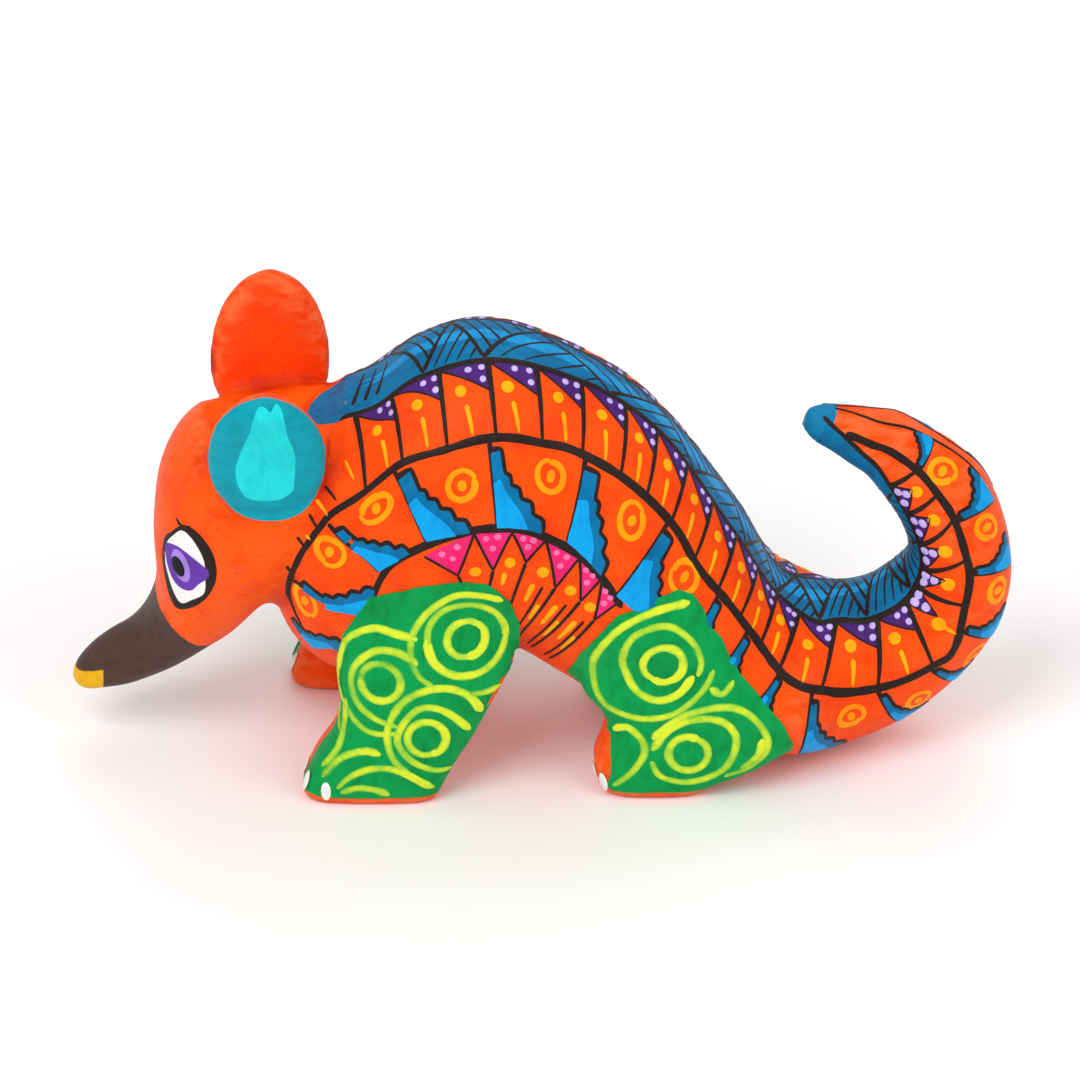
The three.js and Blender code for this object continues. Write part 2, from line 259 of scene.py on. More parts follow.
# Level slices of a leg: height, shift and length as shares of the foot's length, thickness
# as a share of the leg's, and 1 for an ellipse or less for a squarer slice.
frontSlices = [
    (0.0, 0.02, 1.0, 0.88, 0.5),
    (1.0, 0.01, 1.08, 0.98, 0.5),
    (5.0, 0.12, 1.1, 1.0, 0.52),
    (8.5, 0.26, 1.11, 1.0, 0.56),
    (12.0, 0.35, 1.15, 1.0, 0.62),
    (15.5, 0.4, 1.28, 1.0, 0.75),
    (19.5, 0.44, 1.38, 0.96, 0.9),
    (24.0, 0.44, 1.2, 0.86, 1.0),
    (28.0, 0.43, 0.8, 0.66, 1.0),
    (30.0, 0.43, 0.3, 0.4, 1.0),
]
hindSlices = [
    (0.0, 0.0, 0.86, 0.78, 0.55),
    (1.2, 0.04, 1.14, 0.92, 0.55),
    (4.5, 0.3, 1.76, 0.97, 0.6),
    (7.5, 0.46, 1.92, 1.0, 0.62),
    (10.5, 0.43, 1.84, 1.0, 0.66),
    (14.0, 0.26, 1.9, 0.98, 0.75),
    (18.5, 0.08, 1.66, 0.92, 0.9),
    (23.0, 0.08, 1.3, 0.78, 1.0),
    (26.5, 0.08, 0.8, 0.6, 1.0),
    (28.4, 0.08, 0.3, 0.3, 1.0),
]
leg = {"thickness": 8.2, "front foot": 15, "hind foot": 12, "front stance": 32.2, "hind stance": 30.4}
leg.update({"front x": -19.8, "hind x": 13.3, "stride": 1.8})

# Slices of an ear, all as shares: height up the ear, width, thickness.
earSlices = [
    (0.03, 0.22, 0.5),
    (0.07, 0.5, 0.78),
    (0.17, 0.8, 0.96),
    (0.32, 0.97, 1.0),
    (0.5, 0.99, 0.98),
    (0.66, 0.92, 0.92),
    (0.79, 0.79, 0.84),
    (0.89, 0.6, 0.74),
    (0.955, 0.4, 0.56),
    (0.99, 0.2, 0.36),
    (1.01, 0.05, 0.12),
]
ear = {"x": -31.5, "y": 10.3, "z": 36.4, "height": 19.4, "width": 14, "thickness": 5, "tilt": 14}
ear["dish"] = 0.7  # depth of the hollow in the outer face

carving = {
    "rings": 150,
    "sides": 96,
    "voxel": 0.4,
    "softening": 6,  # passes that round every edge
    "fairing": 0.85,  # how far the creases are filled
    "knife marks": 0.14,  # how far the surface wanders
    "crown dip": 3.4,
}


def lean(rib):
    angle = math.radians(rib[2])
    return Vector((-math.sin(angle), 0, math.cos(angle)))


# Each section: middle, two half axes, and how square it is.
def bodySections(ribs):
    return [((x, 0, z), lean(rib) * high, (0, wide, 0), 1) for rib in ribs for x, z, _, high, wide in [rib]]


def legSections(slices, footX, foot, stance, side):
    y = side * (stance - leg["thickness"]) / 2
    sections = []
    for z, shift, long, thick, square in slices:
        middle = (footX + shift * foot, y, z)
        sections.append((middle, (long * foot / 2, 0, 0), (0, thick * leg["thickness"] / 2, 0), square))
    return sections


def earMiddle(up, side):
    tilt = math.radians(ear["tilt"])
    rise = up * ear["height"]
    y = ear["y"] + rise * math.sin(tilt) - ear["thickness"] / 4
    return Vector((ear["x"], side * y, ear["z"] + rise * math.cos(tilt)))


def earOutwards(side):
    tilt = math.radians(ear["tilt"])
    return Vector((0, side * math.cos(tilt), -math.sin(tilt)))


def earSections(side):
    sections = []
    for up, wide, thick in earSlices:
        reach = (wide * ear["width"] / 2, 0, 0)
        breadth = earOutwards(side) * (thick * ear["thickness"] / 2)
        sections.append((earMiddle(up, side), reach, breadth, 1))
    return sections


def sectionMesh(name, sections):
    mesh = bpy.data.meshes.new(name)
    links = [(i, i + 1) for i in range(len(sections) - 1)]
    mesh.from_pydata([Vector(section[0]) * mm for section in sections], links, [])
    for label, column in (("reach", 1), ("breadth", 2)):
        values = mesh.attributes.new(label, "FLOAT_VECTOR", "POINT")
        values.data.foreach_set("vector", np.ravel([Vector(each[column]) * mm for each in sections]))
    values = mesh.attributes.new("square", "FLOAT", "POINT")
    values.data.foreach_set("value", [float(section[3]) for section in sections])
    return mesh


def newLoftTree(material):
    kinds = {"Rings": "NodeSocketInt", "Sides": "NodeSocketInt"}
    graph, given = newGeometryTree("carved loft", kinds)
    spine = graph.node("GeometryNodeMeshToCurve", {}, {0: given["Geometry"]})
    spine = graph.node("GeometryNodeCurveSplineType", {"spline_type": "CATMULL_ROM"}, {0: spine})
    spine = graph.node("GeometryNodeSetSplineResolution", {}, {0: spine, "Resolution": 16})
    size = {"Size X": 1.0, "Size Y": 1.0, "Vertices X": given["Rings"], "Vertices Y": given["Sides"]}
    sheet = graph.node("GeometryNodeMeshGrid", {}, size)
    across, round_, _ = graph.split(graph.node("GeometryNodeInputPosition"))
    row = (across + 0.5) * (given["Rings"] - 1)
    share = (row - 1) / (given["Rings"] - 3)
    share = graph.node("ShaderNodeClamp", {}, {0: share})
    turn = (round_ + 0.5) * math.tau

    def sample(label, kind):
        settings = {"data_type": kind, "mode": "FACTOR"}
        value = graph.named(label, kind)
        return graph.node("GeometryNodeSampleCurve", settings, {0: spine, "Value": value, "Factor": share})

    square = sample("square", "FLOAT")
    open_ = (row > 0.5) * (row < given["Rings"] - 1.5)

    def bend(wave):
        return wave.sign() * abs(wave) ** square * open_

    def scaled(vector, amount):
        sockets = {0: vector, "Scale": amount}
        return graph.node("ShaderNodeVectorMath", {"operation": "SCALE"}, sockets)

    middle = sample("square", "FLOAT").socket.node.outputs["Position"]
    offset = graph.vector(
        "ADD",
        scaled(sample("reach", "FLOAT_VECTOR"), bend(turn.cosine())),
        scaled(sample("breadth", "FLOAT_VECTOR"), bend(turn.sine())),
    )
    place = graph.vector("ADD", Wire(graph, middle), offset)
    skin = graph.node("GeometryNodeSetPosition", {}, {0: sheet, "Position": place})
    skin = graph.node("GeometryNodeMergeByDistance", {}, {0: skin, "Distance": 1e-6})
    closeGeometryTree(graph, skin, material)
    return graph


def joinMeshes(name, objects):
    joined = bmesh.new()
    for each in objects:
        joined.from_mesh(each.data)
        bpy.data.objects.remove(each)
    bmesh.ops.recalc_face_normals(joined, faces=joined.faces)
    mesh = bpy.data.meshes.new(name)
    joined.to_mesh(mesh)
    joined.free()
    whole = bpy.data.objects.new(name, mesh)
    bpy.context.scene.collection.objects.link(whole)
    return whole


def getPoints(mesh):
    flat = np.zeros(len(mesh.vertices) * 3)
    mesh.vertices.foreach_get("co", flat)
    return flat.reshape(-1, 3)


# Averages a value at each point of the skin with its neighbours, over and over.
def spread(values, links, passes):
    values = np.array(values, float).reshape(len(values), -1)
    heads, tails = np.concatenate([links, links[:, ::-1]]).T
    count = np.bincount(heads, minlength=len(values))[:, None].clip(1)
    for _ in range(passes):
        near = [np.bincount(heads, weights=column[tails], minlength=len(values)) for column in values.T]
        values = (values + np.array(near).T / count) / 2
    return values


# One closed skin over trunk, tail, head, ears and legs.
def carveSkin():
    rough = bpy.data.materials.new("rough")
    tree = newLoftTree(rough)
    lofts = {"body": bodySections(bodyRibs), "head": bodySections(headRibs)}
    for side in (right, left):
        ahead = leg["stride"] if side == left else 0
        front = (leg["front x"] - ahead, leg["front foot"], leg["front stance"], side)
        hind = (leg["hind x"], leg["hind foot"], leg["hind stance"], side)
        lofts[f"front{side}"] = legSections(frontSlices, *front)
        lofts[f"hind{side}"] = legSections(hindSlices, *hind)
        lofts[f"ear{side}"] = earSections(side)
    counts = {"Rings": carving["rings"], "Sides": carving["sides"] + 1}
    blanks = [runTree(name, sectionMesh(name, parts), tree, counts) for name, parts in lofts.items()]
    blank = joinMeshes("blank", blanks)
    remesh = blank.modifiers.new("remesh", "REMESH")
    remesh.mode = "VOXEL"
    remesh.voxel_size = carving["voxel"] * mm
    soften = blank.modifiers.new("soften", "SMOOTH")
    soften.factor = 0.5
    soften.iterations = carving["softening"]
    skin = freeze(blank)
    points = getPoints(skin.data) / mm
    normals = np.array([vertex.normal[:] for vertex in skin.data.vertices])
    links = np.array([edge.vertices[:] for edge in skin.data.edges])
    rounder = spread(points, links, 110) - points
    sunk = np.clip(((rounder * normals).sum(1) - 0.03) / 0.25, 0, 1)
    points += rounder * spread(sunk, links, 8) * carving["fairing"]
    points += normals * knifeMarks(points)[:, None]
    points += normals * earHollow(points, normals)[:, None]
    points[:, 2] -= crownDip(points)
    points[:, 2] = np.maximum(points[:, 2], 0)
    skin.data.vertices.foreach_set("co", np.ravel(points * mm))
    skin.data.update()
    return skin


# The slow wander that a knife and sandpaper leave.
def knifeMarks(points):
    wander = [noise.noise(Vector(point) * 0.16) for point in points]
    return np.array(wander) * carving["knife marks"] * np.clip(points[:, 2] / 3, 0, 1)


def earHollow(points, normals):
    depth = np.zeros(len(points))
    for side in (right, left):
        tilt = math.radians(ear["tilt"])
        middle = np.array(earMiddle(0.48, side))
        upwards = np.array((0, side * math.sin(tilt), math.cos(tilt)))
        offset = points - middle
        across = offset[:, 0] / (ear["width"] * 0.43)
        along = offset @ upwards / (ear["height"] * 0.42)
        inside = np.clip(1 - across**2 - along**2, 0, 1)
        facing = np.clip(normals @ np.array(earOutwards(side)) * 2 - 0.8, 0, 1)
        near = (offset[:, 1] * side > -2) & (points[:, 2] > ear["z"])
        depth -= ear["dish"] * inside * facing * near
    return depth


# The saddle between the ears.
def crownDip(points):
    x, y, z = points.T
    reach = np.clip(1 - np.abs((x + 31) / 8.5) ** 3, 0, 1)
    return carving["crown dip"] * np.exp(-((y / 6.5) ** 2)) * reach * np.clip((z - 38) / 6, 0, 1)


skin = carveSkin()
print("skin carved:", len(skin.data.polygons), "faces")
skinTree = BVHTree.FromPolygons(
    [point.co / mm for point in skin.data.vertices],
    [tuple(face.vertices) for face in skin.data.polygons],
)


# Which CAD node each face of the skin belongs to, with smooth lines between them.
def shareOut(names):
    corners, faces, owners = [], [], []
    for order, name in enumerate(names):
        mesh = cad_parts[name].data
        start = len(corners)
        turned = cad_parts[name].matrix_world
        corners.extend([turned @ vertex.co for vertex in mesh.vertices])
        faces.extend([[start + k for k in face.vertices] for face in mesh.polygons])
        owners.extend([order] * len(mesh.polygons))
    tree = BVHTree.FromPolygons(corners, faces)
    votes = np.zeros((len(skin.data.vertices), len(names)))
    for vertex in skin.data.vertices:
        votes[vertex.index, owners[tree.find_nearest(vertex.co)[2]]] = 1
    links = np.array([edge.vertices[:] for edge in skin.data.edges])
    votes = spread(votes, links, 12)
    return [int(np.argmax(votes[list(face.vertices)].sum(0))) for face in skin.data.polygons]


# How deep each point sits in a crease, in millimetres.
def creases():
    links = np.array([edge.vertices[:] for edge in skin.data.edges])
    points = getPoints(skin.data) / mm
    normals = np.array([vertex.normal[:] for vertex in skin.data.vertices])
    depth = ((spread(points, links, 90) - points) * normals).sum(1)
    return spread(depth, links, 4)[:, 0]


# Cuts the skin into one closed piece for each CAD node.
def cutSkin(names, materials):
    owners = shareOut(names)
    hollow = creases()
    normals = [vertex.normal.copy() for vertex in skin.data.vertices]
    pieces = {}
    for order, name in enumerate(names):
        faces = [face for face, owner in zip(skin.data.polygons, owners) if owner == order]
        used = sorted({k for face in faces for k in face.vertices})
        rank = {k: i for i, k in enumerate(used)}
        shape = bmesh.new()
        points = [shape.verts.new(skin.data.vertices[k].co) for k in used]
        for face in faces:
            shape.faces.new([points[rank[k]] for k in face.vertices])
        dropCrumbs(shape)
        capHoles(shape)
        bmesh.ops.recalc_face_normals(shape, faces=shape.faces)
        mesh = bpy.data.meshes.new(name)
        shape.to_mesh(mesh)
        shape.free()
        closest = {tuple(np.round(skin.data.vertices[k].co / mm, 4)): k for k in used}
        keys = [closest.get(tuple(np.round(vertex.co / mm, 4))) for vertex in mesh.vertices]
        addValues(mesh, "hollow", [float(hollow[k]) if k is not None else 0.0 for k in keys])
        mesh.shade_smooth()
        given = [normals[k] if k is not None else (0, 0, 0) for k in keys]
        mesh.normals_split_custom_set_from_vertices(given)
        mesh.materials.append(materials[name])
        piece = bpy.data.objects.new("carved_" + name, mesh)
        bpy.context.scene.collection.objects.link(piece)
        pieces[name] = piece
    bpy.data.objects.remove(skin)
    return pieces


# Closes each open rim with a fan of faces to its middle.
def capHoles(shape):
    waiting = {edge for edge in shape.edges if edge.is_boundary}
    while waiting:
        rim = [waiting.pop()]
        edge = list(rim)
        while edge:
            near = {link for point in edge.pop().verts for link in point.link_edges} & waiting
            waiting -= near
            rim.extend(near)
            edge.extend(near)
        corners = {point for link in rim for point in link.verts}
        middle = shape.verts.new(sum((point.co for point in corners), Vector()) / len(corners))
        for link in rim:
            shape.faces.new([*link.verts, middle])


# Leaves only the largest connected part of a shape.
def dropCrumbs(shape):
    waiting = set(shape.verts)
    islands = []
    while waiting:
        edge = [waiting.pop()]
        island = set(edge)
        while edge:
            here = edge.pop()
            near = {link.other_vert(here) for link in here.link_edges} & waiting
            waiting -= near
            island |= near
            edge.extend(near)
        islands.append(island)
    largest = max(islands, key=len)
    spare = [vertex for island in islands if island is not largest for vertex in island]
    bmesh.ops.delete(shape, geom=spare)


# Adds numbers or vectors to a mesh, one for each point.
def addValues(mesh, name, values):
    if isinstance(values[0], float):
        made = mesh.attributes.new(name, "FLOAT", "POINT")
        made.data.foreach_set("value", values)
    else:
        made = mesh.attributes.new(name, "FLOAT_VECTOR", "POINT")
        made.data.foreach_set("vector", np.ravel([tuple(value) for value in values]))


# A Catmull-Rom line through rows of numbers.
def refine(rows, steps):
    fine = []
    last = len(rows) - 1
    for i in range(last):
        before, here, after, later = (np.array(rows[min(max(i + k, 0), last)], float) for k in (-1, 0, 1, 2))
        pull = (after - before) / 2
        push = (later - here) / 2
        for t in np.arange(steps) / steps:
            start = (2 * t**3 - 3 * t**2 + 1) * here + (t**3 - 2 * t**2 + t) * pull
            fine.append(start + (3 * t**2 - 2 * t**3) * after + (t**3 - t**2) * push)
    fine.append(np.array(rows[last], float))
    return np.array(fine)


fineRibs = refine(bodyRibs, 16)
runs = np.concatenate([[0], np.cumsum(np.hypot(*np.diff(fineRibs[:, :2], axis=0).T))])


# Places on the trunk and tail: millimetres along the spine from the neck joint, and degrees
# around from the ridge of the back.
class OnBody:
    def __init__(self, side):
        self.side = side

    def rib(self, along):
        rib = [float(np.interp(along, runs, column)) for column in fineRibs.T]
        if along < 0:  # the spine runs straight on ahead of the joint
            angle = math.radians(rib[2])
            rib[0] += along * math.cos(angle)
            rib[1] += along * math.sin(angle)
        return rib

    def scale(self, along):  # millimetres of skin to a degree
        rib = self.rib(along)
        return (rib[3] + rib[4]) / 2 * math.pi / 180

    def flat(self, along, around):
        return along, around * self.scale(along)

    def find(self, x, y):
        rib = self.rib(x)
        angle = math.radians(y / self.scale(x))
        outwards = lean(rib) * (rib[3] * math.cos(angle))
        outwards.y = self.side * rib[4] * math.sin(angle)
        point, normal, _, _ = skinTree.ray_cast(Vector((rib[0], 0, rib[1])), outwards.normalized())
        return point, normal


# Places seen square on from one flank, by x and z.
class OnFlank:
    def __init__(self, side):
        self.side = side

    def flat(self, x, z):
        return x, z

    def find(self, x, z):
        if self.side == left and -30 < x < 0:  # this front leg strides ahead
            x -= leg["stride"] * min(1, max(0, (24 - z) / 10))
        point, normal, _, _ = skinTree.ray_cast(Vector((x, self.side * 40, z)), Vector((0, -self.side, 0)))
        if point is None or point.y * self.side < 6:
            point, normal, _, _ = skinTree.find_nearest(Vector((x, self.side * 13, z)))
        return point, normal


def evenly(fine, spacing, least=3):
    steps = np.concatenate([[0], np.cumsum(np.hypot(*np.diff(fine, axis=0).T))])
    even = np.linspace(0, steps[-1], max(least, round(steps[-1] / spacing) + 1))
    return np.column_stack([np.interp(even, steps, fine[:, k]) for k in (0, 1)])


# Evenly spaced steps along a line through points, rounded or with corners.
def pathThrough(points, spacing, rounded, closed):
    points = [tuple(point) for point in points]
    if not rounded:
        return evenly(np.array([*points, points[0]] if closed else points), spacing)
    if closed:
        fine = refine([points[-1], *points, points[0], points[1]], 12)[12 : 12 * (len(points) + 1) + 1]
        return evenly(fine, spacing)
    return evenly(refine(points, 12), spacing)


def inside(points, outline):
    x, y = points[:, 0][:, None], points[:, 1][:, None]
    x0, y0 = outline.T
    x1, y1 = np.roll(outline, -1, axis=0).T
    rise = np.where(y1 == y0, 1e-9, y1 - y0)
    crossing = ((y0 > y) != (y1 > y)) & (x < (x1 - x0) * (y - y0) / rise + x0)
    return crossing.sum(1) % 2 == 1


# Sweeps a flat bead of paint along a path, thick over the skin and sunk a little into it.
def newStrokeTree():
    kinds = {"Height": "NodeSocketFloat", "Depth": "NodeSocketFloat", "Paint": "NodeSocketMaterial"}
    graph, given = newGeometryTree("brush stroke", kinds)
    curve = graph.node("GeometryNodeMeshToCurve", {}, {0: given["Geometry"]})
    middle = graph.node("GeometryNodeInputPosition")
    kept = graph.node("GeometryNodeCaptureAttribute", {"domain": "POINT"}, {0: curve})
    capture = kept.socket.node
    capture.capture_items.new("VECTOR", "middle")
    graph.tree.links.new(middle.socket, capture.inputs[1])
    half = graph.named("half")
    circle = graph.node("GeometryNodeCurvePrimitiveCircle", {}, {"Resolution": 10, "Radius": 1.0})
    sockets = {"Curve": kept, "Profile Curve": circle, "Scale": half, "Fill Caps": True}
    swept = graph.node("GeometryNodeCurveToMesh", {}, sockets)
    facing = graph.named("facing", "FLOAT_VECTOR")
    offset = graph.vector("SUBTRACT", graph.node("GeometryNodeInputPosition"), Wire(graph, capture.outputs[1]))
    rise = graph.node("ShaderNodeVectorMath", {"operation": "DOT_PRODUCT"}, {0: offset, 1: facing}, 1)
    above = rise > 0
    wanted = above * rise / half * given["Height"] + (1 - above) * rise * given["Depth"]
    sockets = {0: facing, "Scale": wanted - rise}
    change = graph.node("ShaderNodeVectorMath", {"operation": "SCALE"}, sockets)
    settings = {"data_type": "FLOAT", "domain": "POINT"}
    sockets = {"Geometry": swept, "Name": "core", "Value": above * rise / half}
    cored = graph.node("GeometryNodeStoreNamedAttribute", settings, sockets)
    pressed = graph.node("GeometryNodeSetPosition", {}, {"Geometry": cored, "Offset": change})
    closeGeometryTree(graph, pressed, given["Paint"])
    return graph


# Sets a flattened bead of paint on every point.
def newDotTree():
    kinds = {"Segments": "NodeSocketInt", "Rings": "NodeSocketInt", "Paint": "NodeSocketMaterial"}
    graph, given = newGeometryTree("paint dot", kinds)
    sockets = {"Segments": given["Segments"], "Rings": given["Rings"], "Radius": 1.0}
    bead = graph.node("GeometryNodeMeshUVSphere", {}, sockets)
    kind = "FunctionNodeAlignRotationToVector"
    turn = graph.node(kind, {"axis": "Z"}, {"Vector": graph.named("facing", "FLOAT_VECTOR")})
    sockets = {"Rotation": turn, "Vector": graph.named("heading", "FLOAT_VECTOR")}
    turn = graph.node(kind, {"axis": "Y", "pivot_axis": "Z"}, sockets)
    sockets = {"Points": given["Geometry"], "Instance": bead, "Rotation": turn}
    sockets["Scale"] = graph.named("size", "FLOAT_VECTOR")
    placed = graph.node("GeometryNodeInstanceOnPoints", {}, sockets)
    closeGeometryTree(graph, placed, given["Paint"])
    return graph


strokeTree = newStrokeTree()
dotTree = newDotTree()
random.seed(7)


def clearLoose(mesh):
    shape = bmesh.new()
    shape.from_mesh(mesh)
    bmesh.ops.delete(shape, geom=[point for point in shape.verts if not point.link_faces])
    shape.to_mesh(mesh)
    shape.free()


# One colour of paint: flat fills, brush strokes and dots, joined into one piece at the end.
class Paint:
    def __init__(self, name, material, height, base=0.0):
        self.name = name
        self.material = material
        self.height = height  # over what lies under it
        self.base = base  # what lies under it, over the skin
        self.corners, self.faces = [], []
        self.lines = {"spots": [], "facing": [], "half": [], "run": [], "links": []}
        self.dots = {"spots": [], "facing": [], "heading": [], "size": []}

    def fill(self, outline, place, grain=0.35, wobble=0.05, rounded=False):
        ring = pathThrough([place.flat(*point) for point in outline], grain, rounded, True)[:-1]
        seed = random.uniform(0, 50)
        shake = [noise.noise_vector(Vector((x * 0.9, y * 0.9, seed)))[:2] for x, y in ring]
        ring = ring + np.array(shake) * wobble
        low, high = ring.min(0), ring.max(0)
        rows = enumerate(np.arange(low[1], high[1], grain * 0.87))
        cells = [(x + row % 2 * grain / 2, y) for row, y in rows for x in np.arange(low[0], high[0], grain)]
        cells = np.array(cells)
        cells = cells[inside(cells, ring)]
        if len(cells):
            cells = cells[[np.hypot(*(ring - cell).T).min() > grain * 0.5 for cell in cells]]
        count = len(ring)
        edges = [(i, (i + 1) % count) for i in range(count)]
        points = [Vector(point) for point in [*ring, *cells]]
        spots, _, faces = geometry.delaunay_2d_cdt(points, edges, [], 1, 1e-5)[:3]
        found = [place.find(*spot) for spot in spots]
        faces = [face for face in faces if all((found[a][0] - found[b][0]).length < 3 * grain for a in face for b in face)]
        sides = {(a, b) for face in faces for a, b in zip(face, [*face[1:], face[0]])}
        rim = [(a, b) for a, b in sides if (b, a) not in sides]
        edge = {a for a, _ in rim}
        start, more = len(self.corners), len(spots)
        for i, (point, normal) in enumerate(found):
            self.corners.append(point + normal * (self.base + self.height * (0.5 if i in edge else 1)))
        self.corners.extend([point - normal * 0.12 for point, normal in found])
        self.faces.extend([[start + i for i in face] for face in faces])
        self.faces.extend([[start + more + i for i in reversed(face)] for face in faces])
        self.faces.extend([[start + b, start + a, start + more + a, start + more + b] for a, b in rim])

    # `widths` are full widths, spread evenly from the start of the path to its end.
    def stroke(self, path, place, widths, rounded=True, closed=False, spacing=0.3):
        spots = pathThrough([place.flat(*point) for point in path], spacing, rounded and len(path) > 2, closed)
        seed = random.uniform(0, 50)
        start, count = len(self.lines["spots"]), len(spots)
        for i, spot in enumerate(spots):
            point, normal = place.find(*spot)
            share = i / (count - 1)
            width = float(np.interp(share, np.linspace(0, 1, len(widths)), widths))
            width *= 1 + 0.16 * noise.noise(Vector((i * spacing * 0.7, seed, 0)))
            toEnd = min(i, count - 1 - i) * spacing / max(width / 2, 0.05)
            width *= 1 if closed else min(1, 0.35 + 0.65 * toEnd)
            self.lines["spots"].append((point + normal * self.base) * mm)
            self.lines["facing"].append(normal)
            self.lines["half"].append(width / 2 * mm)
            self.lines["run"].append(share)
        ends = self.lines["spots"]
        links = [(i, i + 1) for i in range(start, start + count - 1)]
        self.lines["links"].extend([(a, b) for a, b in links if (ends[a] - ends[b]).length < 4 * spacing * mm])

    # `size` is across and along the heading, which is a step in the place's own terms.
    def dot(self, at, place, size, heading=(0.1, 0)):
        point, normal = place.find(*place.flat(*at))
        ahead, _ = place.find(*place.flat(*[a + step for a, step in zip(at, heading)]))
        wide, long = (value * random.uniform(0.92, 1.08) / 2 * mm for value in size)
        self.dots["spots"].append((point + normal * self.base) * mm)
        self.dots["facing"].append(normal)
        self.dots["heading"].append((ahead - point).normalized())
        self.dots["size"].append((wide, long, self.height * mm))

    def build(self, slot="detail_paint"):
        parts = []
        if self.faces:
            mesh = bpy.data.meshes.new(self.name)
            mesh.from_pydata([point * mm for point in self.corners], [], self.faces)
            addValues(mesh, "run", [0.5] * len(self.corners))
            parts.append(bpy.data.objects.new("fills", mesh))
        if self.lines["spots"]:
            mesh = bpy.data.meshes.new("lines")
            mesh.from_pydata(self.lines["spots"], self.lines["links"], [])
            for name in ("facing", "half", "run"):
                addValues(mesh, name, self.lines[name])
            values = {"Height": self.height * mm, "Depth": 0.5, "Paint": self.material}
            parts.append(runTree("lines", mesh, strokeTree, values))
        if self.dots["spots"]:
            mesh = bpy.data.meshes.new("dots")
            mesh.from_pydata(self.dots["spots"], [], [])
            for name in ("facing", "heading", "size"):
                addValues(mesh, name, self.dots[name])
            values = {"Segments": 12, "Rings": 6, "Paint": self.material}
            parts.append(runTree("dots", mesh, dotTree, values))
        piece = joinMeshes(self.name, parts)
        clearLoose(piece.data)
        piece.data.materials.append(self.material)
        piece.data.polygons.foreach_set("material_index", [0] * len(piece.data.polygons))
        piece.data.shade_smooth()
        piece.data.set_sharp_from_angle(angle=math.radians(50))
        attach(piece, "root")
        return piece


# A colour by its 0 to 255 parts, in the renderer's linear units.
def colour(red, green, blue):
    parts = [value / 255 for value in (red, green, blue)]
    return (*[p / 12.92 if p < 0.04 else ((p + 0.055) / 1.055) ** 2.4 for p in parts], 1)


def newMaterial(name):
    material = bpy.data.materials.new(name)
    material.use_nodes = True
    material.node_tree.nodes.clear()
    return material, Graph(material.node_tree)


# Cloudy blotches, bristle streaks and a fine tooth, for anything brushed on.
def brushwork(graph, streak):
    where = graph.node("ShaderNodeTexCoord", output=3)
    cloud = graph.node("ShaderNodeTexNoise", {}, {"Vector": where, "Scale": 230.0, "Detail": 3.0})
    drawn = graph.node("ShaderNodeMapping", {}, {"Vector": where, "Scale": streak})
    bristle = graph.node("ShaderNodeTexNoise", {}, {"Vector": drawn, "Scale": 1.0, "Detail": 4.0})
    tooth = graph.node("ShaderNodeTexNoise", {}, {"Vector": where, "Scale": 3200.0, "Detail": 2.0})
    return where, cloud, bristle, tooth


def finishPaint(graph, body, bristle, tooth, gloss):
    rough = gloss + (tooth - 0.5) * 0.22 + (bristle - 0.5) * 0.16
    height = tooth + bristle * 0.8
    bump = {"Strength": 0.6, "Distance": 0.00007, "Height": height}
    sockets = {"Base Color": body, "Roughness": rough, "Normal": graph.node("ShaderNodeBump", {}, bump)}
    sockets["Specular IOR Level"] = 0.1
    shader = graph.node("ShaderNodeBsdfPrincipled", {}, sockets)
    graph.node("ShaderNodeOutputMaterial", {}, {"Surface": shader})


# Acrylic in one colour that the brush leaves thinner in places.
def newPaint(name, thick, thin=None, streak=(900, 900, 350), gloss=0.5, thinness=0.55):
    material, graph = newMaterial(name)
    _, cloud, bristle, tooth = brushwork(graph, streak)
    thin = thin or (*[value * 0.7 for value in thick[:3]], 1)
    share = cloud.step(0.38, 0.72) * thinness + bristle.step(0.45, 0.7) * 0.4
    speck = tooth.step(0.62, 0.74) * 0.45
    body = graph.blend(share, thick, thin)
    body = graph.blend(speck, body, (*[value * 0.45 for value in thick[:3]], 1))
    finishPaint(graph, body, bristle, tooth, gloss)
    return material


skinPaint = {
    "orange": colour(252, 80, 2),
    "deep": colour(240, 54, 0),
    "crease": colour(168, 8, 4),
    # dark red: painted shade in creases and around the ears, and also random specks
    "worn": colour(252, 118, 62),
    "head": colour(252, 88, 8),
    "ear": colour(248, 70, 4),
    "green": colour(0, 158, 78),
    "teal": colour(6, 158, 176),
    "snout": colour(80, 60, 52),
    "nose": colour(240, 180, 24),
    "tip": colour(14, 124, 170),
}
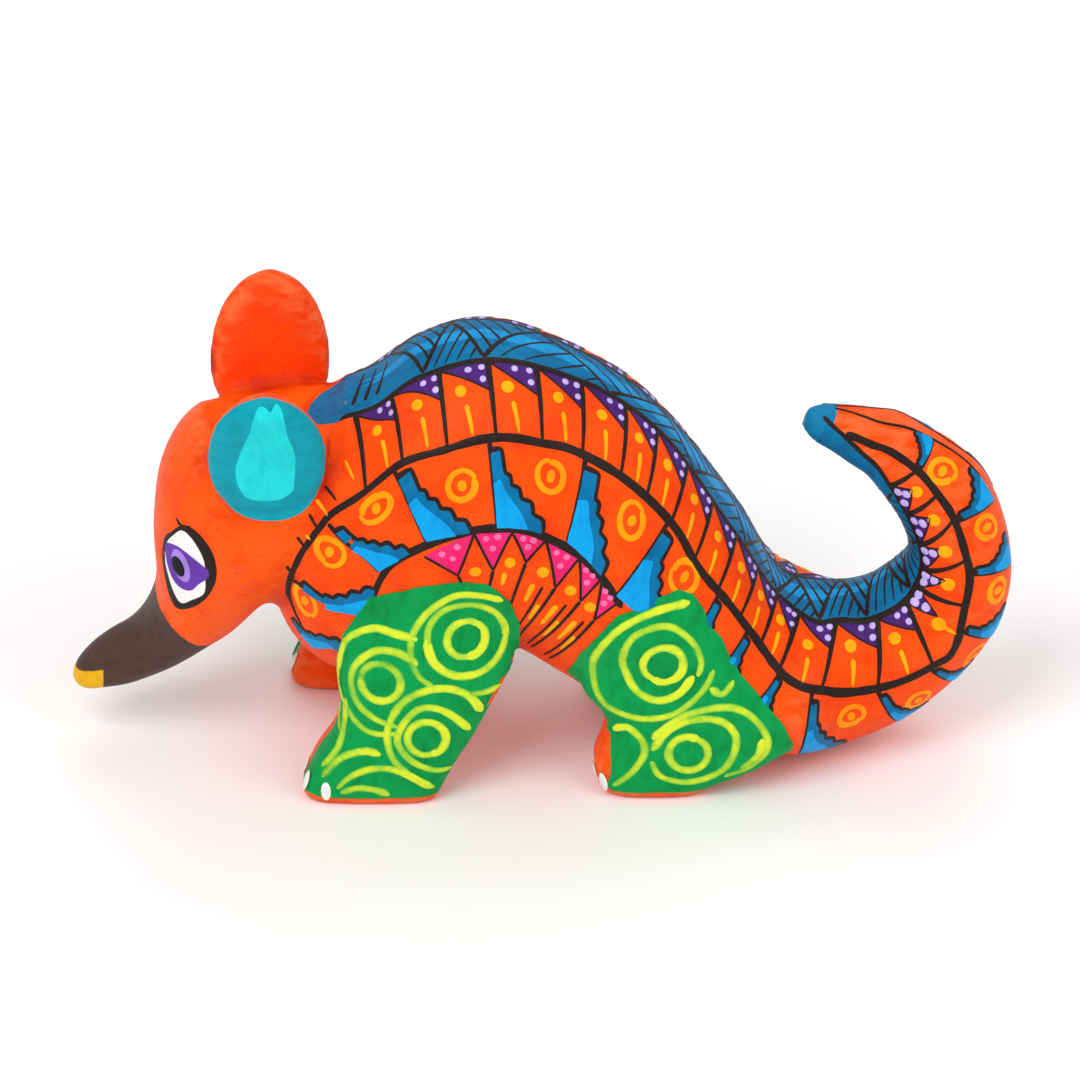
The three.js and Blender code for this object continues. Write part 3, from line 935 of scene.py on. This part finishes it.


# The skin's orange: redder where the brush left it thick, dark red painted shade in the creases, worn
# on the ridges. Each zone is a colour and the part of the skin that it covers.
def newSkinPaint(name, base, zones=()):
    material, graph = newMaterial(name)
    where, cloud, bristle, tooth = brushwork(graph, (350, 900, 900))
    hollow = graph.node("ShaderNodeAttribute", {"attribute_name": "hollow"}, {}, 2)
    body = graph.blend(cloud.step(0.42, 0.7) * 0.6 + bristle.step(0.5, 0.7) * 0.3, base, skinPaint["deep"])
    ridge = (cloud * 0.25 - hollow).step(0.2, 0.55) * bristle.step(0.35, 0.65) * 0.7
    body = graph.blend(ridge, body, skinPaint["worn"])
    # Painted shade: dark red laid over the orange where the skin sits deep in a crease.
    crease_shade = (hollow + (cloud - 0.5) * 0.25).step(0.06, 0.42)
    body = graph.blend(crease_shade * 0.9, body, skinPaint["crease"])
    body = graph.blend(tooth.step(0.6, 0.76) * 0.42, body, skinPaint["crease"])
    x, y, z = [axis * 1000 for axis in graph.split(where)]
    for shade, covers in zones:
        mask = covers(x, y, z, (cloud - 0.5) * 1.6)
        tone = graph.blend(bristle.step(0.4, 0.7) * 0.45, shade, (*[value * 0.66 for value in shade[:3]], 1))
        body = graph.blend(mask, body, tone)
    finishPaint(graph, body, bristle, tooth, 0.48)
    return material


def onSnout(x, y, z, wobble):
    return (20.6 - z - (x + 44.8) * 0.915 + wobble).step(-0.15, 0.15)


def onNose(x, y, z, wobble):
    return (-51.3 - x + wobble * 0.5).step(-0.1, 0.1) * (10.3 - z + (x + 52) * 0.4 + wobble * 0.4).step(-0.1, 0.1)


def onTip(x, y, z, wobble):
    return (x * -0.93 + z * 0.37 + 15.4 + wobble * 0.5).step(-0.15, 0.15)


def earOuterFace(side):
    outwards, middle = earOutwards(side), earMiddle(0.53, side)

    def covers(x, y, z, wobble):
        beyond = (y - middle.y) * outwards.y + (z - middle.z) * outwards.z
        rise = (z - middle.z) * abs(outwards.y) - (y - middle.y) * outwards.z * side
        across = abs((x - middle.x) / 6.8) ** 2.6 + abs((rise - 0.6) / 9.9) ** 2.6
        return (beyond - 0.1 + wobble * 0.2).step(-0.15, 0.15) * (1 - across + wobble * 0.03).step(-0.01, 0.03)

    return covers


# Painted shade: a ring of dark red around an ear's root, on the head and on the ear.
def earShadeSurround(side):
    outwards, middle = earOutwards(side), earMiddle(0.5, side)

    def covers(x, y, z, wobble):
        rise = (z - middle.z) * abs(outwards.y) - (y - middle.y) * outwards.z * side
        across = abs((x - middle.x) / 7.2) ** 2 + abs(rise / 10) ** 2
        near = (across - 0.75 + wobble * 0.5).step(0, 0.3) * (2.2 - across + wobble).step(0, 1.1)
        level = (rise + 7 + wobble * 2).step(0, 6) * (5 - rise + wobble * 2).step(0, 6)
        return near * level * (y * side - 3 + wobble).step(0, 4) * 0.85

    return covers


def legOuterFace(side, top, front):
    middle = (leg["front stance"] - leg["thickness"]) / 2

    def covers(x, y, z, wobble):
        outer = (y * side - middle + wobble).step(-0.2, 0.2) * (top - z + wobble).step(-0.2, 0.2)
        return outer * (z - 1.1 + wobble * 0.3).step(-0.1, 0.1) * (x - front + wobble * 0.4).step(-0.1, 0.1)

    return covers


# Pale copal wood, only on the dowels.
def newWood():
    material, graph = newMaterial("bare_wood")
    _, cloud, grain, tooth = brushwork(graph, (900, 120, 900))
    body = graph.blend(grain.step(0.35, 0.7), colour(222, 190, 146), colour(186, 146, 98))
    finishPaint(graph, body, grain, tooth, 0.62)
    return material


# Swirls brushed in thin yellow that lets the green through at its edges and as it runs dry.
def newSwirlPaint():
    material, graph = newMaterial("yellow_green_paint")
    _, cloud, bristle, tooth = brushwork(graph, (1400, 900, 1400))
    run = graph.node("ShaderNodeAttribute", {"attribute_name": "run"}, {}, 2)
    core = graph.node("ShaderNodeAttribute", {"attribute_name": "core"}, {}, 2)
    cover = core * 0.8 - run * 0.35 + (bristle - 0.5) * 0.5 + (cloud - 0.5) * 1.5 + 0.1
    body = graph.blend(cover.step(0.0, 0.5), colour(70, 172, 68), colour(160, 210, 58))
    body = graph.blend(cover.step(0.4, 0.85), body, colour(222, 236, 54))
    finishPaint(graph, body, bristle, tooth, 0.5)
    return material


carvedNames = ["trunk", "head", "tail", "left_ear", "right_ear"]
carvedNames += [f"{end}_leg_{side}" for end in ("front", "hind") for side in ("left", "right")]
materials = {"trunk": newSkinPaint("trunk_paint", skinPaint["orange"])}
materials["tail"] = newSkinPaint("tail_paint", skinPaint["orange"], [(skinPaint["tip"], onTip)])
muzzle = [(skinPaint["snout"], onSnout), (skinPaint["nose"], onNose)]
earFaces = [(skinPaint["teal"], earOuterFace(side)) for side in (right, left)]
# Painted shade around the ears' roots, used on the head and on both ears.
earShadeRings = [(skinPaint["crease"], earShadeSurround(side)) for side in (right, left)]
materials["head"] = newSkinPaint("head_paint", skinPaint["head"], earShadeRings + muzzle + earFaces)
for sideName, side in (("left", left), ("right", right)):
    materials[f"{sideName}_ear"] = newSkinPaint(f"{sideName}_ear_paint", skinPaint["ear"], earShadeRings + earFaces)
    for end, top, front in (("front", 13, -30), ("hind", 9, 8.2)):
        outer = [(skinPaint["green"], legOuterFace(side, top, front))]
        name = f"{end}_leg_{sideName}"
        materials[name] = newSkinPaint(name + "_paint", skinPaint["orange"], outer)

carved = cutSkin(carvedNames, materials)
for name, piece in carved.items():
    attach(piece, "root")
    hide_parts(name)
wood = newWood()
for name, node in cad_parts.items():
    if name not in carved:
        node.data.materials.clear()
        node.data.materials.append(wood)
print("skin cut into", len(carved), "pieces")


brush = {
    "blue": Paint("band_blue", newPaint("blue_paint", colour(2, 116, 166), colour(12, 88, 134)), 0.045),
    "sky": Paint("band_sky", newPaint("sky_paint", colour(22, 152, 216), colour(6, 124, 184)), 0.02, 0.045),
    "black": Paint("black_lines", newPaint("black_paint", colour(44, 33, 30), gloss=0.42), 0.06, 0.03),
    "purple": Paint("purple_teeth", newPaint("purple_paint", colour(78, 36, 118)), 0.03),
    "lavender": Paint("lavender_dots", newPaint("lavender_paint", colour(206, 186, 250)), 0.1, 0.02),
    "yellow": Paint("yellow_marks", newPaint("yellow_paint", colour(254, 178, 4), colour(252, 140, 2)), 0.09),
    "amber": Paint("amber_rings", newPaint("amber_paint", colour(255, 162, 4), colour(253, 128, 2)), 0.07),
    "pink": Paint("pink_teeth", newPaint("pink_paint", colour(240, 44, 116), colour(232, 14, 96)), 0.03),
    "rose": Paint("rose_dots", newPaint("rose_paint", colour(251, 118, 176)), 0.09, 0.02),
    "step": Paint("step_dark", newPaint("step_paint", colour(2, 118, 172), colour(2, 92, 140)), 0.03, 0.08),
    "wedge": Paint("step_light", newPaint("wedge_paint", colour(8, 166, 236), colour(4, 140, 206)), 0.03, 0.1),
    "green": Paint("green_coat", newPaint("green_coat_paint", skinPaint["green"], colour(0, 128, 58)), 0.04, 0.1),
    "swirl": Paint("swirls", newSwirlPaint(), 0.05, 0.13),
    "flame": Paint("ear_flame", newPaint("flame_paint", colour(36, 220, 222), colour(24, 196, 204)), 0.04),
    "claw": Paint("claws", newPaint("claw_paint", colour(250, 248, 244)), 0.16, 0.1),
    "white": Paint("eye_white", newPaint("white_paint", colour(248, 246, 244), colour(226, 222, 222)), 0.03, 0.08),
    "iris": Paint("eye_iris", newPaint("iris_paint", colour(112, 62, 178)), 0.03, 0.11),
    "gleam": Paint("eye_lavender", newPaint("gleam_paint", colour(178, 142, 236)), 0.03, 0.14),
    "pupil": Paint("eye_pupil", newPaint("pupil_paint", colour(24, 20, 24), gloss=0.35), 0.03, 0.17),
}
print("paints mixed:", len(brush))

# Lines along each flank: millimetres along the spine, degrees down from the ridge of the back.
bandEdge = [(0.5, 22), (6, 19), (14, 18), (22, 16), (30, 11), (36, 10), (40, 11), (45, 14), (50, 14), (60, 12)]
bandEdge += [(65, 15), (70, 22), (74, 27), (80, 36), (87, 43), (93, 41), (99, 43), (105, 48), (110, 62)]
bandEdge += [(115, 85), (119, 112), (121, 140)]
rowEdge = [(0.2, 94), (1.1, 80), (2.7, 67), (8.9, 52), (16.4, 50), (25.4, 46), (29.2, 43), (39.5, 42)]
rowEdge += [(45, 46), (53.4, 46), (58.7, 48), (65, 58), (69.9, 67), (72.4, 77), (77, 88), (83.6, 104)]
rowEdge += [(86, 110), (91.4, 98), (97.1, 99), (102.4, 102), (105.8, 105), (109.3, 111), (115, 111), (118, 112)]
chestEdge = [(5.2, 142), (3.4, 134), (1.8, 130), (0.6, 125), (0, 114), (0, 102), (0.2, 94), (1.1, 80)]
archEdge = [(9, 102), (9.8, 90), (11.3, 85), (14.8, 81), (18.5, 79), (23, 79), (27.2, 78), (31.6, 78)]
archEdge += [(35.3, 80), (37.6, 82), (39.6, 84)]
underTail = [(119.9, 174), (116.8, 162), (113.9, 155), (110.6, 165), (105.8, 170), (101.1, 163)]


def lineThrough(points):
    fine = refine(points, 12)
    return lambda along: float(np.interp(along, fine[:, 0], fine[:, 1]))


bandLine = lineThrough(bandEdge)
rowLine = lineThrough(rowEdge)


# Names any place in a cell between two slanted edges by its shares across and down.
def cellBetween(first, second, top, bottom):
    def at(across, down):
        high = [a + (b - a) * across for a, b in zip(first[0], second[0])]
        low = [a + (b - a) * across for a, b in zip(first[1], second[1])]
        if top:
            high[1] = top(high[0])
        if bottom:
            low[1] = bottom(low[0])
        return high[0] + (low[0] - high[0]) * down, high[1] + (low[1] - high[1]) * down

    return at


def paintBand(place):
    hook = [(-2.7, -1), (-2.6, 6), (-2.3, 14), (-1.5, 20), (0.7, 23)]
    edge = [(a, bandLine(a)) for a in np.arange(2.5, 121.2, 2)]
    inner = [(a, -1.0) for a in np.arange(120.5, 0, -4)]
    brush["blue"].fill([*hook, *edge, *inner], place, 0.3)
    tail = [(a, (14 - abs(a - 60) * 0.1) * 0.36) for a in np.arange(2, 118, 4)]
    brush["sky"].fill([*tail, *[(a, -0.5) for a in np.arange(117, 1, -4)]], place, 0.7, 0.12)
    brush["black"].stroke(bandEdge, place, [0.7, 0.85, 0.8, 0.85, 0.8, 0.55], spacing=0.25)


# Zigzag of thick strokes over the ridge, each gap hatched with finer ones.
def paintHatch():
    place = OnBody(right)
    stops = [6 + i * 4.9 for i in range(23)]
    corners = [(along, (0.9 if i % 2 else -0.9) * bandLine(along)) for i, along in enumerate(stops)]
    for i in range(len(corners) - 2):
        first, second, third = corners[i : i + 3]
        brush["black"].stroke([first, second], place, [0.66, 0.46], spacing=0.5)
        for k in (1, 2, 3, 4):
            share = k / 5
            start = [a + (b - a) * share for a, b in zip(second, third)]
            end = [a + (b - a) * share for a, b in zip(first, third)]
            brush["black"].stroke([start, end], place, [0.46, 0.2], spacing=0.5)
    for k in range(3):
        brush["black"].stroke([(1.6 + k * 1.3, 15 - k), (2.8 + k * 1.3, -13 + k)], place, [0.6, 0.25])


toothRow = [(2.0, 5.3), (6.1, 9.5), (13.7, 16.2), (21.2, 22.5), (25.4, 26.3), (28.3, 29.3), (31.8, 32.9)]
toothRow += [(35.1, 36.0), (39.3, 39.5), (43.3, 43.8), (47.9, 48.3), (54, 53.4), (59.8, 58.7), (65.2, 62.9)]
toothRow += [(73, 69.9), (81.3, 77), (87.1, 83.6), (90.4, 91.4), (93.8, 97.1), (98.8, 102.4)]
toothRow += [(104.9, 105.8), (110, 109.3)]


# Purple teeth under the band, each with three dots, over a yellow dot and dash.
def paintTeeth(place):
    for top, bottom in toothRow:
        ends = [(top, bandLine(top)), (bottom, rowLine(bottom))]
        brush["black"].stroke(ends, place, [0.75, 0.6, 0.38])
    for i, (start, end) in enumerate(zip(toothRow, toothRow[1:])):
        first = [(start[0], 0), (start[1], 0)]
        second = [(end[0], 0), (end[1], 0)]
        at = cellBetween(first, second, bandLine, rowLine)
        onTail = i > 15
        tip = (0.62, 0.55) if onTail else (1, 0.44)
        brush["purple"].fill([at(0, 0), at(0.5, 0), at(1, 0), at(*tip)], place, 0.4)
        brush["black"].stroke([at(0, 0.02), at(*tip)], place, [0.26, 0.22])
        if onTail:
            brush["black"].stroke([at(1, 0.02), at(*tip)], place, [0.26, 0.22])
        spots = [(0.38, 0.12), (0.76, 0.12), (0.6, 0.32)] if onTail else [(0.62, 0.11), (0.88, 0.1), (0.88, 0.27)]
        for spot in spots:
            brush["lavender"].dot(at(*spot), place, (1.15, 1.15) if onTail else (0.82, 0.82))
        size = 1.65 if onTail else 1.45
        brush["yellow"].dot(at(0.5 if onTail else 0.42, 0.6 if onTail else 0.38), place, (size, size))
        if i < 17:
            brush["yellow"].stroke([at(0.5, 0.56), at(0.54, 0.76), at(0.56, 0.93)], place, [0.62, 0.5, 0.32])


stepRow = [((2.2, 140), (5.4, 143)), ((0.3, 114), (9.4, 108)), ((2, 75), (9.2, 89)), ((8.3, 54), (14.5, 80)), ((21.7, 48), (23.1, 79))]
stepRow += [((29.6, 45), (30.3, 76)), ((39.2, 45), (38.2, 82)), ((48.7, 48), (49.1, 78)), ((55.8, 53), (54.5, 82))]
stepRow += [((63.3, 60), (60.5, 90)), ((68.6, 68), (68, 127)), ((76.9, 92), (77, 150)), ((83.2, 109), (83, 160))]
stepRow += [((88.6, 109), (88, 160)), ((95.2, 101), (94.5, 167)), ((102, 104), (101, 165)), ((109.1, 114), (109.4, 167))]
stepRow += [((114, 114), (113.6, 160))]
stair = [(0.13, 0.14), (0.15, 0.41), (0.21, 0.43), (0.22, 0.54), (0.31, 0.56), (0.33, 0.68), (0.45, 0.7)]
stair += [(0.47, 0.83), (0.6, 0.86), (0.63, 1)]
wedge = [(0, 0.5), (0.1, 0.45), (0.17, 0.62), (0.26, 0.72), (0.36, 0.84), (0.44, 1), (0, 1)]
ringMarks = [(2.5, 117), (3.1, 86), (7.1, 66), (18.5, 63), (27.3, 56), (35.6, 54), (43.8, 54)]
ringMarks += [(73.3, 101), (79.8, 127), (86, 146), (92.9, 136), (99.6, 134), (107.1, 132)]


# Two-tone stairs that climb each dividing line.
def paintSteps(place):
    for i, (first, second) in enumerate(zip(stepRow, stepRow[1:])):
        at = cellBetween(first, second, rowLine if i > 2 else None, None)
        brush["black"].stroke([at(0, 0), at(0, 1)], place, [0.6, 0.5, 0.42])
        grow = 1.0 if i < 9 else 0.72
        steps = [(s * grow, t) for s, t in stair]
        brush["step"].fill([at(0, 0.17), *[at(*step) for step in steps], at(0, 1)], place, 0.4, 0.03)
        brush["wedge"].fill([at(s * grow, t) for s, t in wedge], place, 0.4, 0.08)
        edge = [at(0, 0.12), *[at(s + 0.01, t - 0.01) for s, t in steps]]
        brush["black"].stroke(edge, place, [0.75, 0.8], rounded=False)


def paintRings(place):
    for along, around in ringMarks:
        onTail = along > 62
        radius = random.uniform(1.4, 1.6) if onTail else random.uniform(1.65, 1.9)
        turn = random.uniform(0, math.tau)
        spots = [place.find(*place.flat(*at))[0] for at in ((along, around), (along + 1, around), (along, around + 5))]
        ahead, down = 1 / (spots[1] - spots[0]).length, 5 / (spots[2] - spots[0]).length
        loop = []
        for k in range(11):
            angle = turn + k / 10 * math.tau * 1.02
            reach = radius * (0.94 + k * 0.014) * (1 + 0.07 * math.sin(2 * angle + turn))
            loop.append((along + reach * math.cos(angle) * ahead, around + reach * math.sin(angle) * down))
        brush["amber"].stroke(loop, place, [0.85, 0.78, 0.55])
        brush["amber"].dot((along, around), place, (1.05, 1.45), (0, 5))


archTeeth = [(14.4, 85), (20.4, 80), (24.7, 80), (28.2, 79), (32.2, 79), (35.6, 80), (38.9, 83)]
toothTips = [(18.7, 94), (22.9, 95), (26.7, 90), (31.2, 95), (34.9, 94), (37.9, 97)]
rayEnds = [(19.5, 99), (22.4, 106), (25.8, 112), (30.2, 128), (34.2, 136), (38, 136)]


# Pink teeth under the arch, with rays below them and yellow marks between the rays.
def paintArch(place):
    brush["black"].stroke(archEdge, place, [0.7, 1.1, 1.15, 1.1, 1.0])
    for first, second, tip, end in zip(archTeeth, archTeeth[1:], toothTips, rayEnds):
        brush["pink"].fill([first, second, tip], place, 0.35)
        brush["black"].stroke([first, tip, second], place, [0.34, 0.3], rounded=False)
        brush["black"].stroke([tip, end], place, [0.44, 0.28])
        for across, down in ((0.3, 0.16), (0.66, 0.14), (0.5, 0.42)):
            along, around = (a + (b - a) * across for a, b in zip(first, second))
            spot = (along + (tip[0] - along) * down, around + (tip[1] - around) * down)
            brush["rose"].dot(spot, place, (0.82, 0.82))
    rays = list(zip(toothTips, rayEnds))
    for i, (first, second) in enumerate(zip(rays, rays[1:])):
        at = cellBetween(first, second, None, None)
        brush["yellow"].dot(at(0.5, -0.05), place, (1.4, 1.4))
        if i > 0:
            brush["yellow"].stroke([at(0.42, 0.2), at(0.42, 0.55)], place, [0.75, 0.42])
        if i > 1:
            brush["black"].stroke([at(0.68, 0.12), at(0.7, 1)], place, [0.36, 0.24])
            brush["yellow"].stroke([at(0.86, 0.35), at(0.86, 0.66)], place, [0.6, 0.36])


def paintLines(place):
    brush["black"].stroke(rowEdge, place, [0.8, 1.0, 1.15, 1.15, 1.1, 1.0, 0.9], spacing=0.4)
    brush["black"].stroke(chestEdge, place, [0.3, 0.55, 0.7, 0.8])
    brush["black"].stroke(underTail, place, [0.3, 0.42, 0.3])


frontCoat = [(-19.7, 28.4), (-13.7, 30.3), (-9.5, 31.1), (-5.9, 30.7), (-3.4, 27.8), (-2.3, 23.9), (-2.5, 17.4)]
frontCoat += [(-4.6, 16.8), (-7.2, 11.3), (-9.7, 6), (-12.4, 1.2), (-26.2, 1.2), (-26.7, 2.6), (-26.2, 4.5)]
frontCoat += [(-24.2, 8), (-23.7, 11), (-23.4, 14.3), (-22.9, 21.9), (-21.2, 25.6)]
hindCoat = [(3.1, 15.4), (4.8, 20.3), (8.8, 26.2), (10.3, 26.8), (13.3, 27.1), (13.4, 28), (16, 28.5), (17.8, 27.4)]
hindCoat += [(18.9, 25.6), (19.6, 23.5), (21.1, 21.8), (22, 19.3), (23.4, 16.9), (25.8, 13.8), (28.5, 10.3)]
hindCoat += [(29.6, 7), (28.6, 5), (25, 3), (17.8, 1.9), (12, 1.1), (8.4, 1.1), (7.9, 1.9), (9.4, 7.4), (7.8, 9.1), (6, 12)]
frontSwirls = [
    [(-4.3, 28.1), (-6.9, 29), (-9.8, 29.1), (-12.6, 27), (-14.6, 24.1), (-15, 20.9), (-14.1, 18.3), (-12.4, 16.9)],
    [(-14.2, 19.8), (-16.3, 21.2), (-18.9, 21.3), (-21.2, 19.3), (-21.9, 16.8), (-21.2, 14.1), (-19.2, 12.3), (-16.6, 11.2)],
    [(-14.2, 23.1), (-16.8, 23.7), (-19.4, 24), (-22.3, 21.9), (-23.3, 17.9), (-23.2, 15), (-22.3, 12.8), (-20.7, 10.9), (-18.9, 10.2), (-16.3, 10.3)],
    [(-8.2, 10.4), (-10, 12.6), (-12.1, 13.9), (-14.2, 13.7), (-16, 11.5), (-16.6, 9), (-15, 6.5), (-12.4, 5.1), (-10.4, 4.9)],
    [(-6.8, 12.8), (-8.2, 15.3), (-10.6, 16.6), (-13.4, 16.3), (-16, 14.6), (-17.6, 11.5), (-17.7, 8.7), (-16.8, 6.2), (-14.7, 4), (-12.4, 2.5)],
    [(-4.7, 15.9), (-6.4, 15.6), (-8.5, 15.6)],
    [(-18.6, 7.3), (-20.5, 7.8), (-23.3, 6.5), (-25.4, 3.8)],
    [(-12.6, 2.5), (-16.3, 5), (-19.4, 5.4), (-22, 4.3), (-23.7, 2.5)],
    [(-17.6, 1.7), (-19.2, 2.4), (-21.2, 2.7), (-23.3, 2)],
    [(-23.4, 13), (-23.3, 10.7), (-23.3, 9.6)],
    [(-22.5, 14.1), (-22.7, 10.9), (-23.5, 7.7), (-25.4, 5)],
]
frontRings = [(-8.6, 22.9, 2.2), (-8.6, 22.9, 4.6), (-18.5, 17.2, 2.35), (-13.2, 9.6, 2.25)]
hindSwirls = [
    [(17.8, 17.6), (16.2, 15.3), (13.8, 14.3), (11.5, 15.3), (10.2, 17.5), (9.6, 20.3), (10.8, 23.3), (13.3, 24.5), (15.5, 24.1), (17.8, 21.8), (18.7, 19.3), (18.3, 17.5)],
    [(17.3, 26.7), (13.3, 26.5), (9.3, 24.5), (6.5, 20.2), (6.3, 16.3), (7.5, 13.3), (10.2, 11.9), (12.9, 11.7), (16, 12.7), (18.9, 15.5), (20.2, 18.1)],
    [(19.8, 15.9), (21.2, 15), (22.5, 16.5)],
    [(13.1, 7.3), (15.3, 10.5), (18.7, 11.8), (21.6, 11.1), (22.9, 8.7), (21.9, 5.2), (19.6, 3.4), (16.7, 2.8), (14, 3.7), (13, 5.8)],
    [(13.1, 8.9), (16.7, 12.1), (21.1, 13.3), (24, 12.4), (26.2, 9.6), (26.4, 6.9), (24.3, 4.6), (21.5, 3.5)],
    [(26, 8.8), (25.4, 6.4), (23.4, 4.6)],
    [(8.6, 9.4), (10.2, 10.2), (11.9, 8.6), (12.2, 6.8), (11.1, 4.6), (9.8, 3.1), (8.6, 2)],
]
hindRings = [(14.3, 19.3, 2.35), (17.3, 6.9, 2.3)]


def paintLegs(place):
    brush["green"].fill(frontCoat, place, 0.45, 0.1)
    brush["green"].fill(hindCoat, place, 0.45, 0.1)
    for path in frontSwirls + hindSwirls:
        brush["swirl"].stroke(path, place, [1.15, 1.08, 1.0, 0.85], spacing=0.35)
    for x, z, radius in frontRings + hindRings:
        turn = random.uniform(0, math.tau)
        loop = [(x + radius * math.cos(turn + k * 0.66), z + radius * 1.04 * math.sin(turn + k * 0.66)) for k in range(11)]
        brush["swirl"].stroke(loop, place, [1.2, 1.1, 0.95], spacing=0.35)


eye = {
    "outline": [(-41.6, 34.3), (-40.3, 34.6), (-39, 33.8), (-37.9, 32.1), (-37.5, 30), (-37.8, 27.7), (-38.9, 25.2)]
    + [(-40.5, 23.5), (-42.3, 22.7), (-43.2, 24.3), (-43.6, 26.1), (-43.9, 28.6), (-43.6, 31.3), (-42.8, 32.8)],
    "white": [(-41.5, 33.8), (-40.5, 33.5), (-39.5, 32.3), (-38.9, 30.8), (-38.8, 28.8), (-39, 26.2), (-40.5, 24.7)]
    + [(-41.7, 23.8), (-42.5, 24.9), (-43.2, 26.9), (-43.5, 28.6), (-43.3, 30.9), (-42.6, 32.5)],
    "iris": [(-43.3, 31), (-42, 31.6), (-40.5, 31.1), (-39.1, 30.3), (-38.4, 29.7), (-38.5, 28.7), (-39.6, 27.4)]
    + [(-40.5, 26.2), (-41.7, 26.1), (-42.6, 26.8), (-43.2, 28.2), (-43.4, 29.5)],
}
flame = [(-32.1, 54.4), (-31.4, 54.3), (-30.9, 53.7), (-30.3, 54.7), (-29.5, 53.5), (-29, 50.2), (-28.2, 47), (-28.3, 43.2)]
flame += [(-28.6, 41.3), (-30.3, 40.1), (-33.4, 40.1), (-34.6, 41.6), (-35.1, 44.3), (-34.6, 46.9), (-33.4, 50.6), (-32.7, 53.5)]


def oval(x, z, wide, high, tilt):
    tilt = math.radians(tilt)
    points = []
    for k in range(12):
        across, up = math.cos(k * math.tau / 12) * wide / 2, math.sin(k * math.tau / 12) * high / 2
        points.append((x + across * math.cos(tilt) - up * math.sin(tilt), z + across * math.sin(tilt) + up * math.cos(tilt)))
    return points


# Places named by x, y and z, at the nearest point of the skin.
class OnSkin:
    def flat(self, *point):
        return point

    def find(self, *point):
        return skinTree.find_nearest(Vector(point))[:2]


claws = [(-26.8, 11.0, 2.2), (-26.8, 13.9, 2.2), (-25.0, 15.9, 2.0), (6.3, 9.2, 2.6), (6.4, 12, 2.4), (7.2, 14.2, 2)]


def paintClaws(side):
    for x, y, z in claws:
        x -= leg["stride"] if side == left else 0
        brush["claw"].dot((x, y * side, z), OnSkin(), (1.35, 2.5), (0, 0, 0.1))


def paintFace(place):
    brush["black"].fill(eye["outline"], place, 0.3, 0.02, True)
    brush["white"].fill(eye["white"], place, 0.3, 0.02, True)
    brush["iris"].fill(eye["iris"], place, 0.3, 0.02, True)
    brush["gleam"].fill(oval(-41.6, 29.2, 2.0, 4.1, 12), place, 0.25, 0.02, True)
    brush["pupil"].fill(oval(-41.9, 29.0, 1.4, 2.5, 12), place, 0.2, 0.01, True)
    brush["black"].stroke([(-42.2, 34.9), (-41.6, 34.3), (-40.5, 34.7)], place, [0.3, 0.4, 0.2])
    brush["flame"].fill(flame, place, 0.4, 0.06, True)
    ticks = [(-24.9, 41, -23.5, 39.4), (-26.7, 37.7, -25.8, 36), (-28.1, 34.7, -27.2, 33.3), (-29.4, 30.5, -28.5, 28.7)]
    for x, z, endX, endZ in ticks:
        brush["black"].stroke([(x, z), (endX, endZ)], place, [0.45, 0.25])
    for x, z, endX, endZ in [(-22.5, 43.4, -21.5, 41.9), (-25.9, 39.5, -24.5, 37.6), (-27.1, 35, -26.5, 34.4)]:
        brush["yellow"].stroke([(x, z), (endX, endZ)], place, [0.5, 0.3])


for side in (right, left):
    body, flank = OnBody(side), OnFlank(side)
    paintBand(body)
    paintTeeth(body)
    paintSteps(body)
    paintRings(body)
    paintArch(body)
    paintLines(body)
    paintLegs(flank)
    paintFace(flank)
    paintClaws(side)
paintHatch()
for name, paint in brush.items():
    paint.build("green_paint" if name == "green" else "detail_paint")
print("patterns painted")

studio = {
    "world": 0.6,
    "lights": [  # place and size in metres, watts
        ((-0.35, -0.5, 0.75), 0.5, 3.8),
        ((0.5, -0.35, 0.55), 0.45, 1.2),
        ((0.1, 0.5, 0.7), 0.5, 1.2),
    ],
}


def addStudio():
    world = bpy.data.worlds.new("studio")
    bpy.context.scene.world = world
    world.use_nodes = True
    world.node_tree.nodes["Background"].inputs[0].default_value = (1, 1, 1, 1)
    world.node_tree.nodes["Background"].inputs[1].default_value = studio["world"]
    for place, size, power in studio["lights"]:
        lamp = bpy.data.lights.new("softbox", "AREA")
        lamp.size = size
        lamp.energy = power
        light = bpy.data.objects.new("softbox", lamp)
        light.location = place
        light.rotation_euler = (Vector((0, 0, 0.02)) - Vector(place)).to_track_quat("-Z", "Y").to_euler()
        bpy.context.scene.collection.objects.link(light)
    material, graph = newMaterial("floor")
    sockets = {"Base Color": (0.98, 0.98, 0.98, 1), "Roughness": 0.9, "Specular IOR Level": 0.0}
    shader = graph.node("ShaderNodeBsdfPrincipled", {}, sockets)
    graph.node("ShaderNodeOutputMaterial", {}, {"Surface": shader})
    mesh = bpy.data.meshes.new("floor")
    reach = 3
    corners = [(x * reach, y * reach, -0.0001) for x, y in ((-1, -1), (1, -1), (1, 1), (-1, 1))]
    mesh.from_pydata(corners, [], [(0, 1, 2, 3)])
    mesh.materials.append(material)
    floor = bpy.data.objects.new("floor", mesh)
    bpy.context.scene.collection.objects.link(floor)
    bpy.context.scene.view_settings.view_transform = "Standard"


addStudio()
print("studio lit")
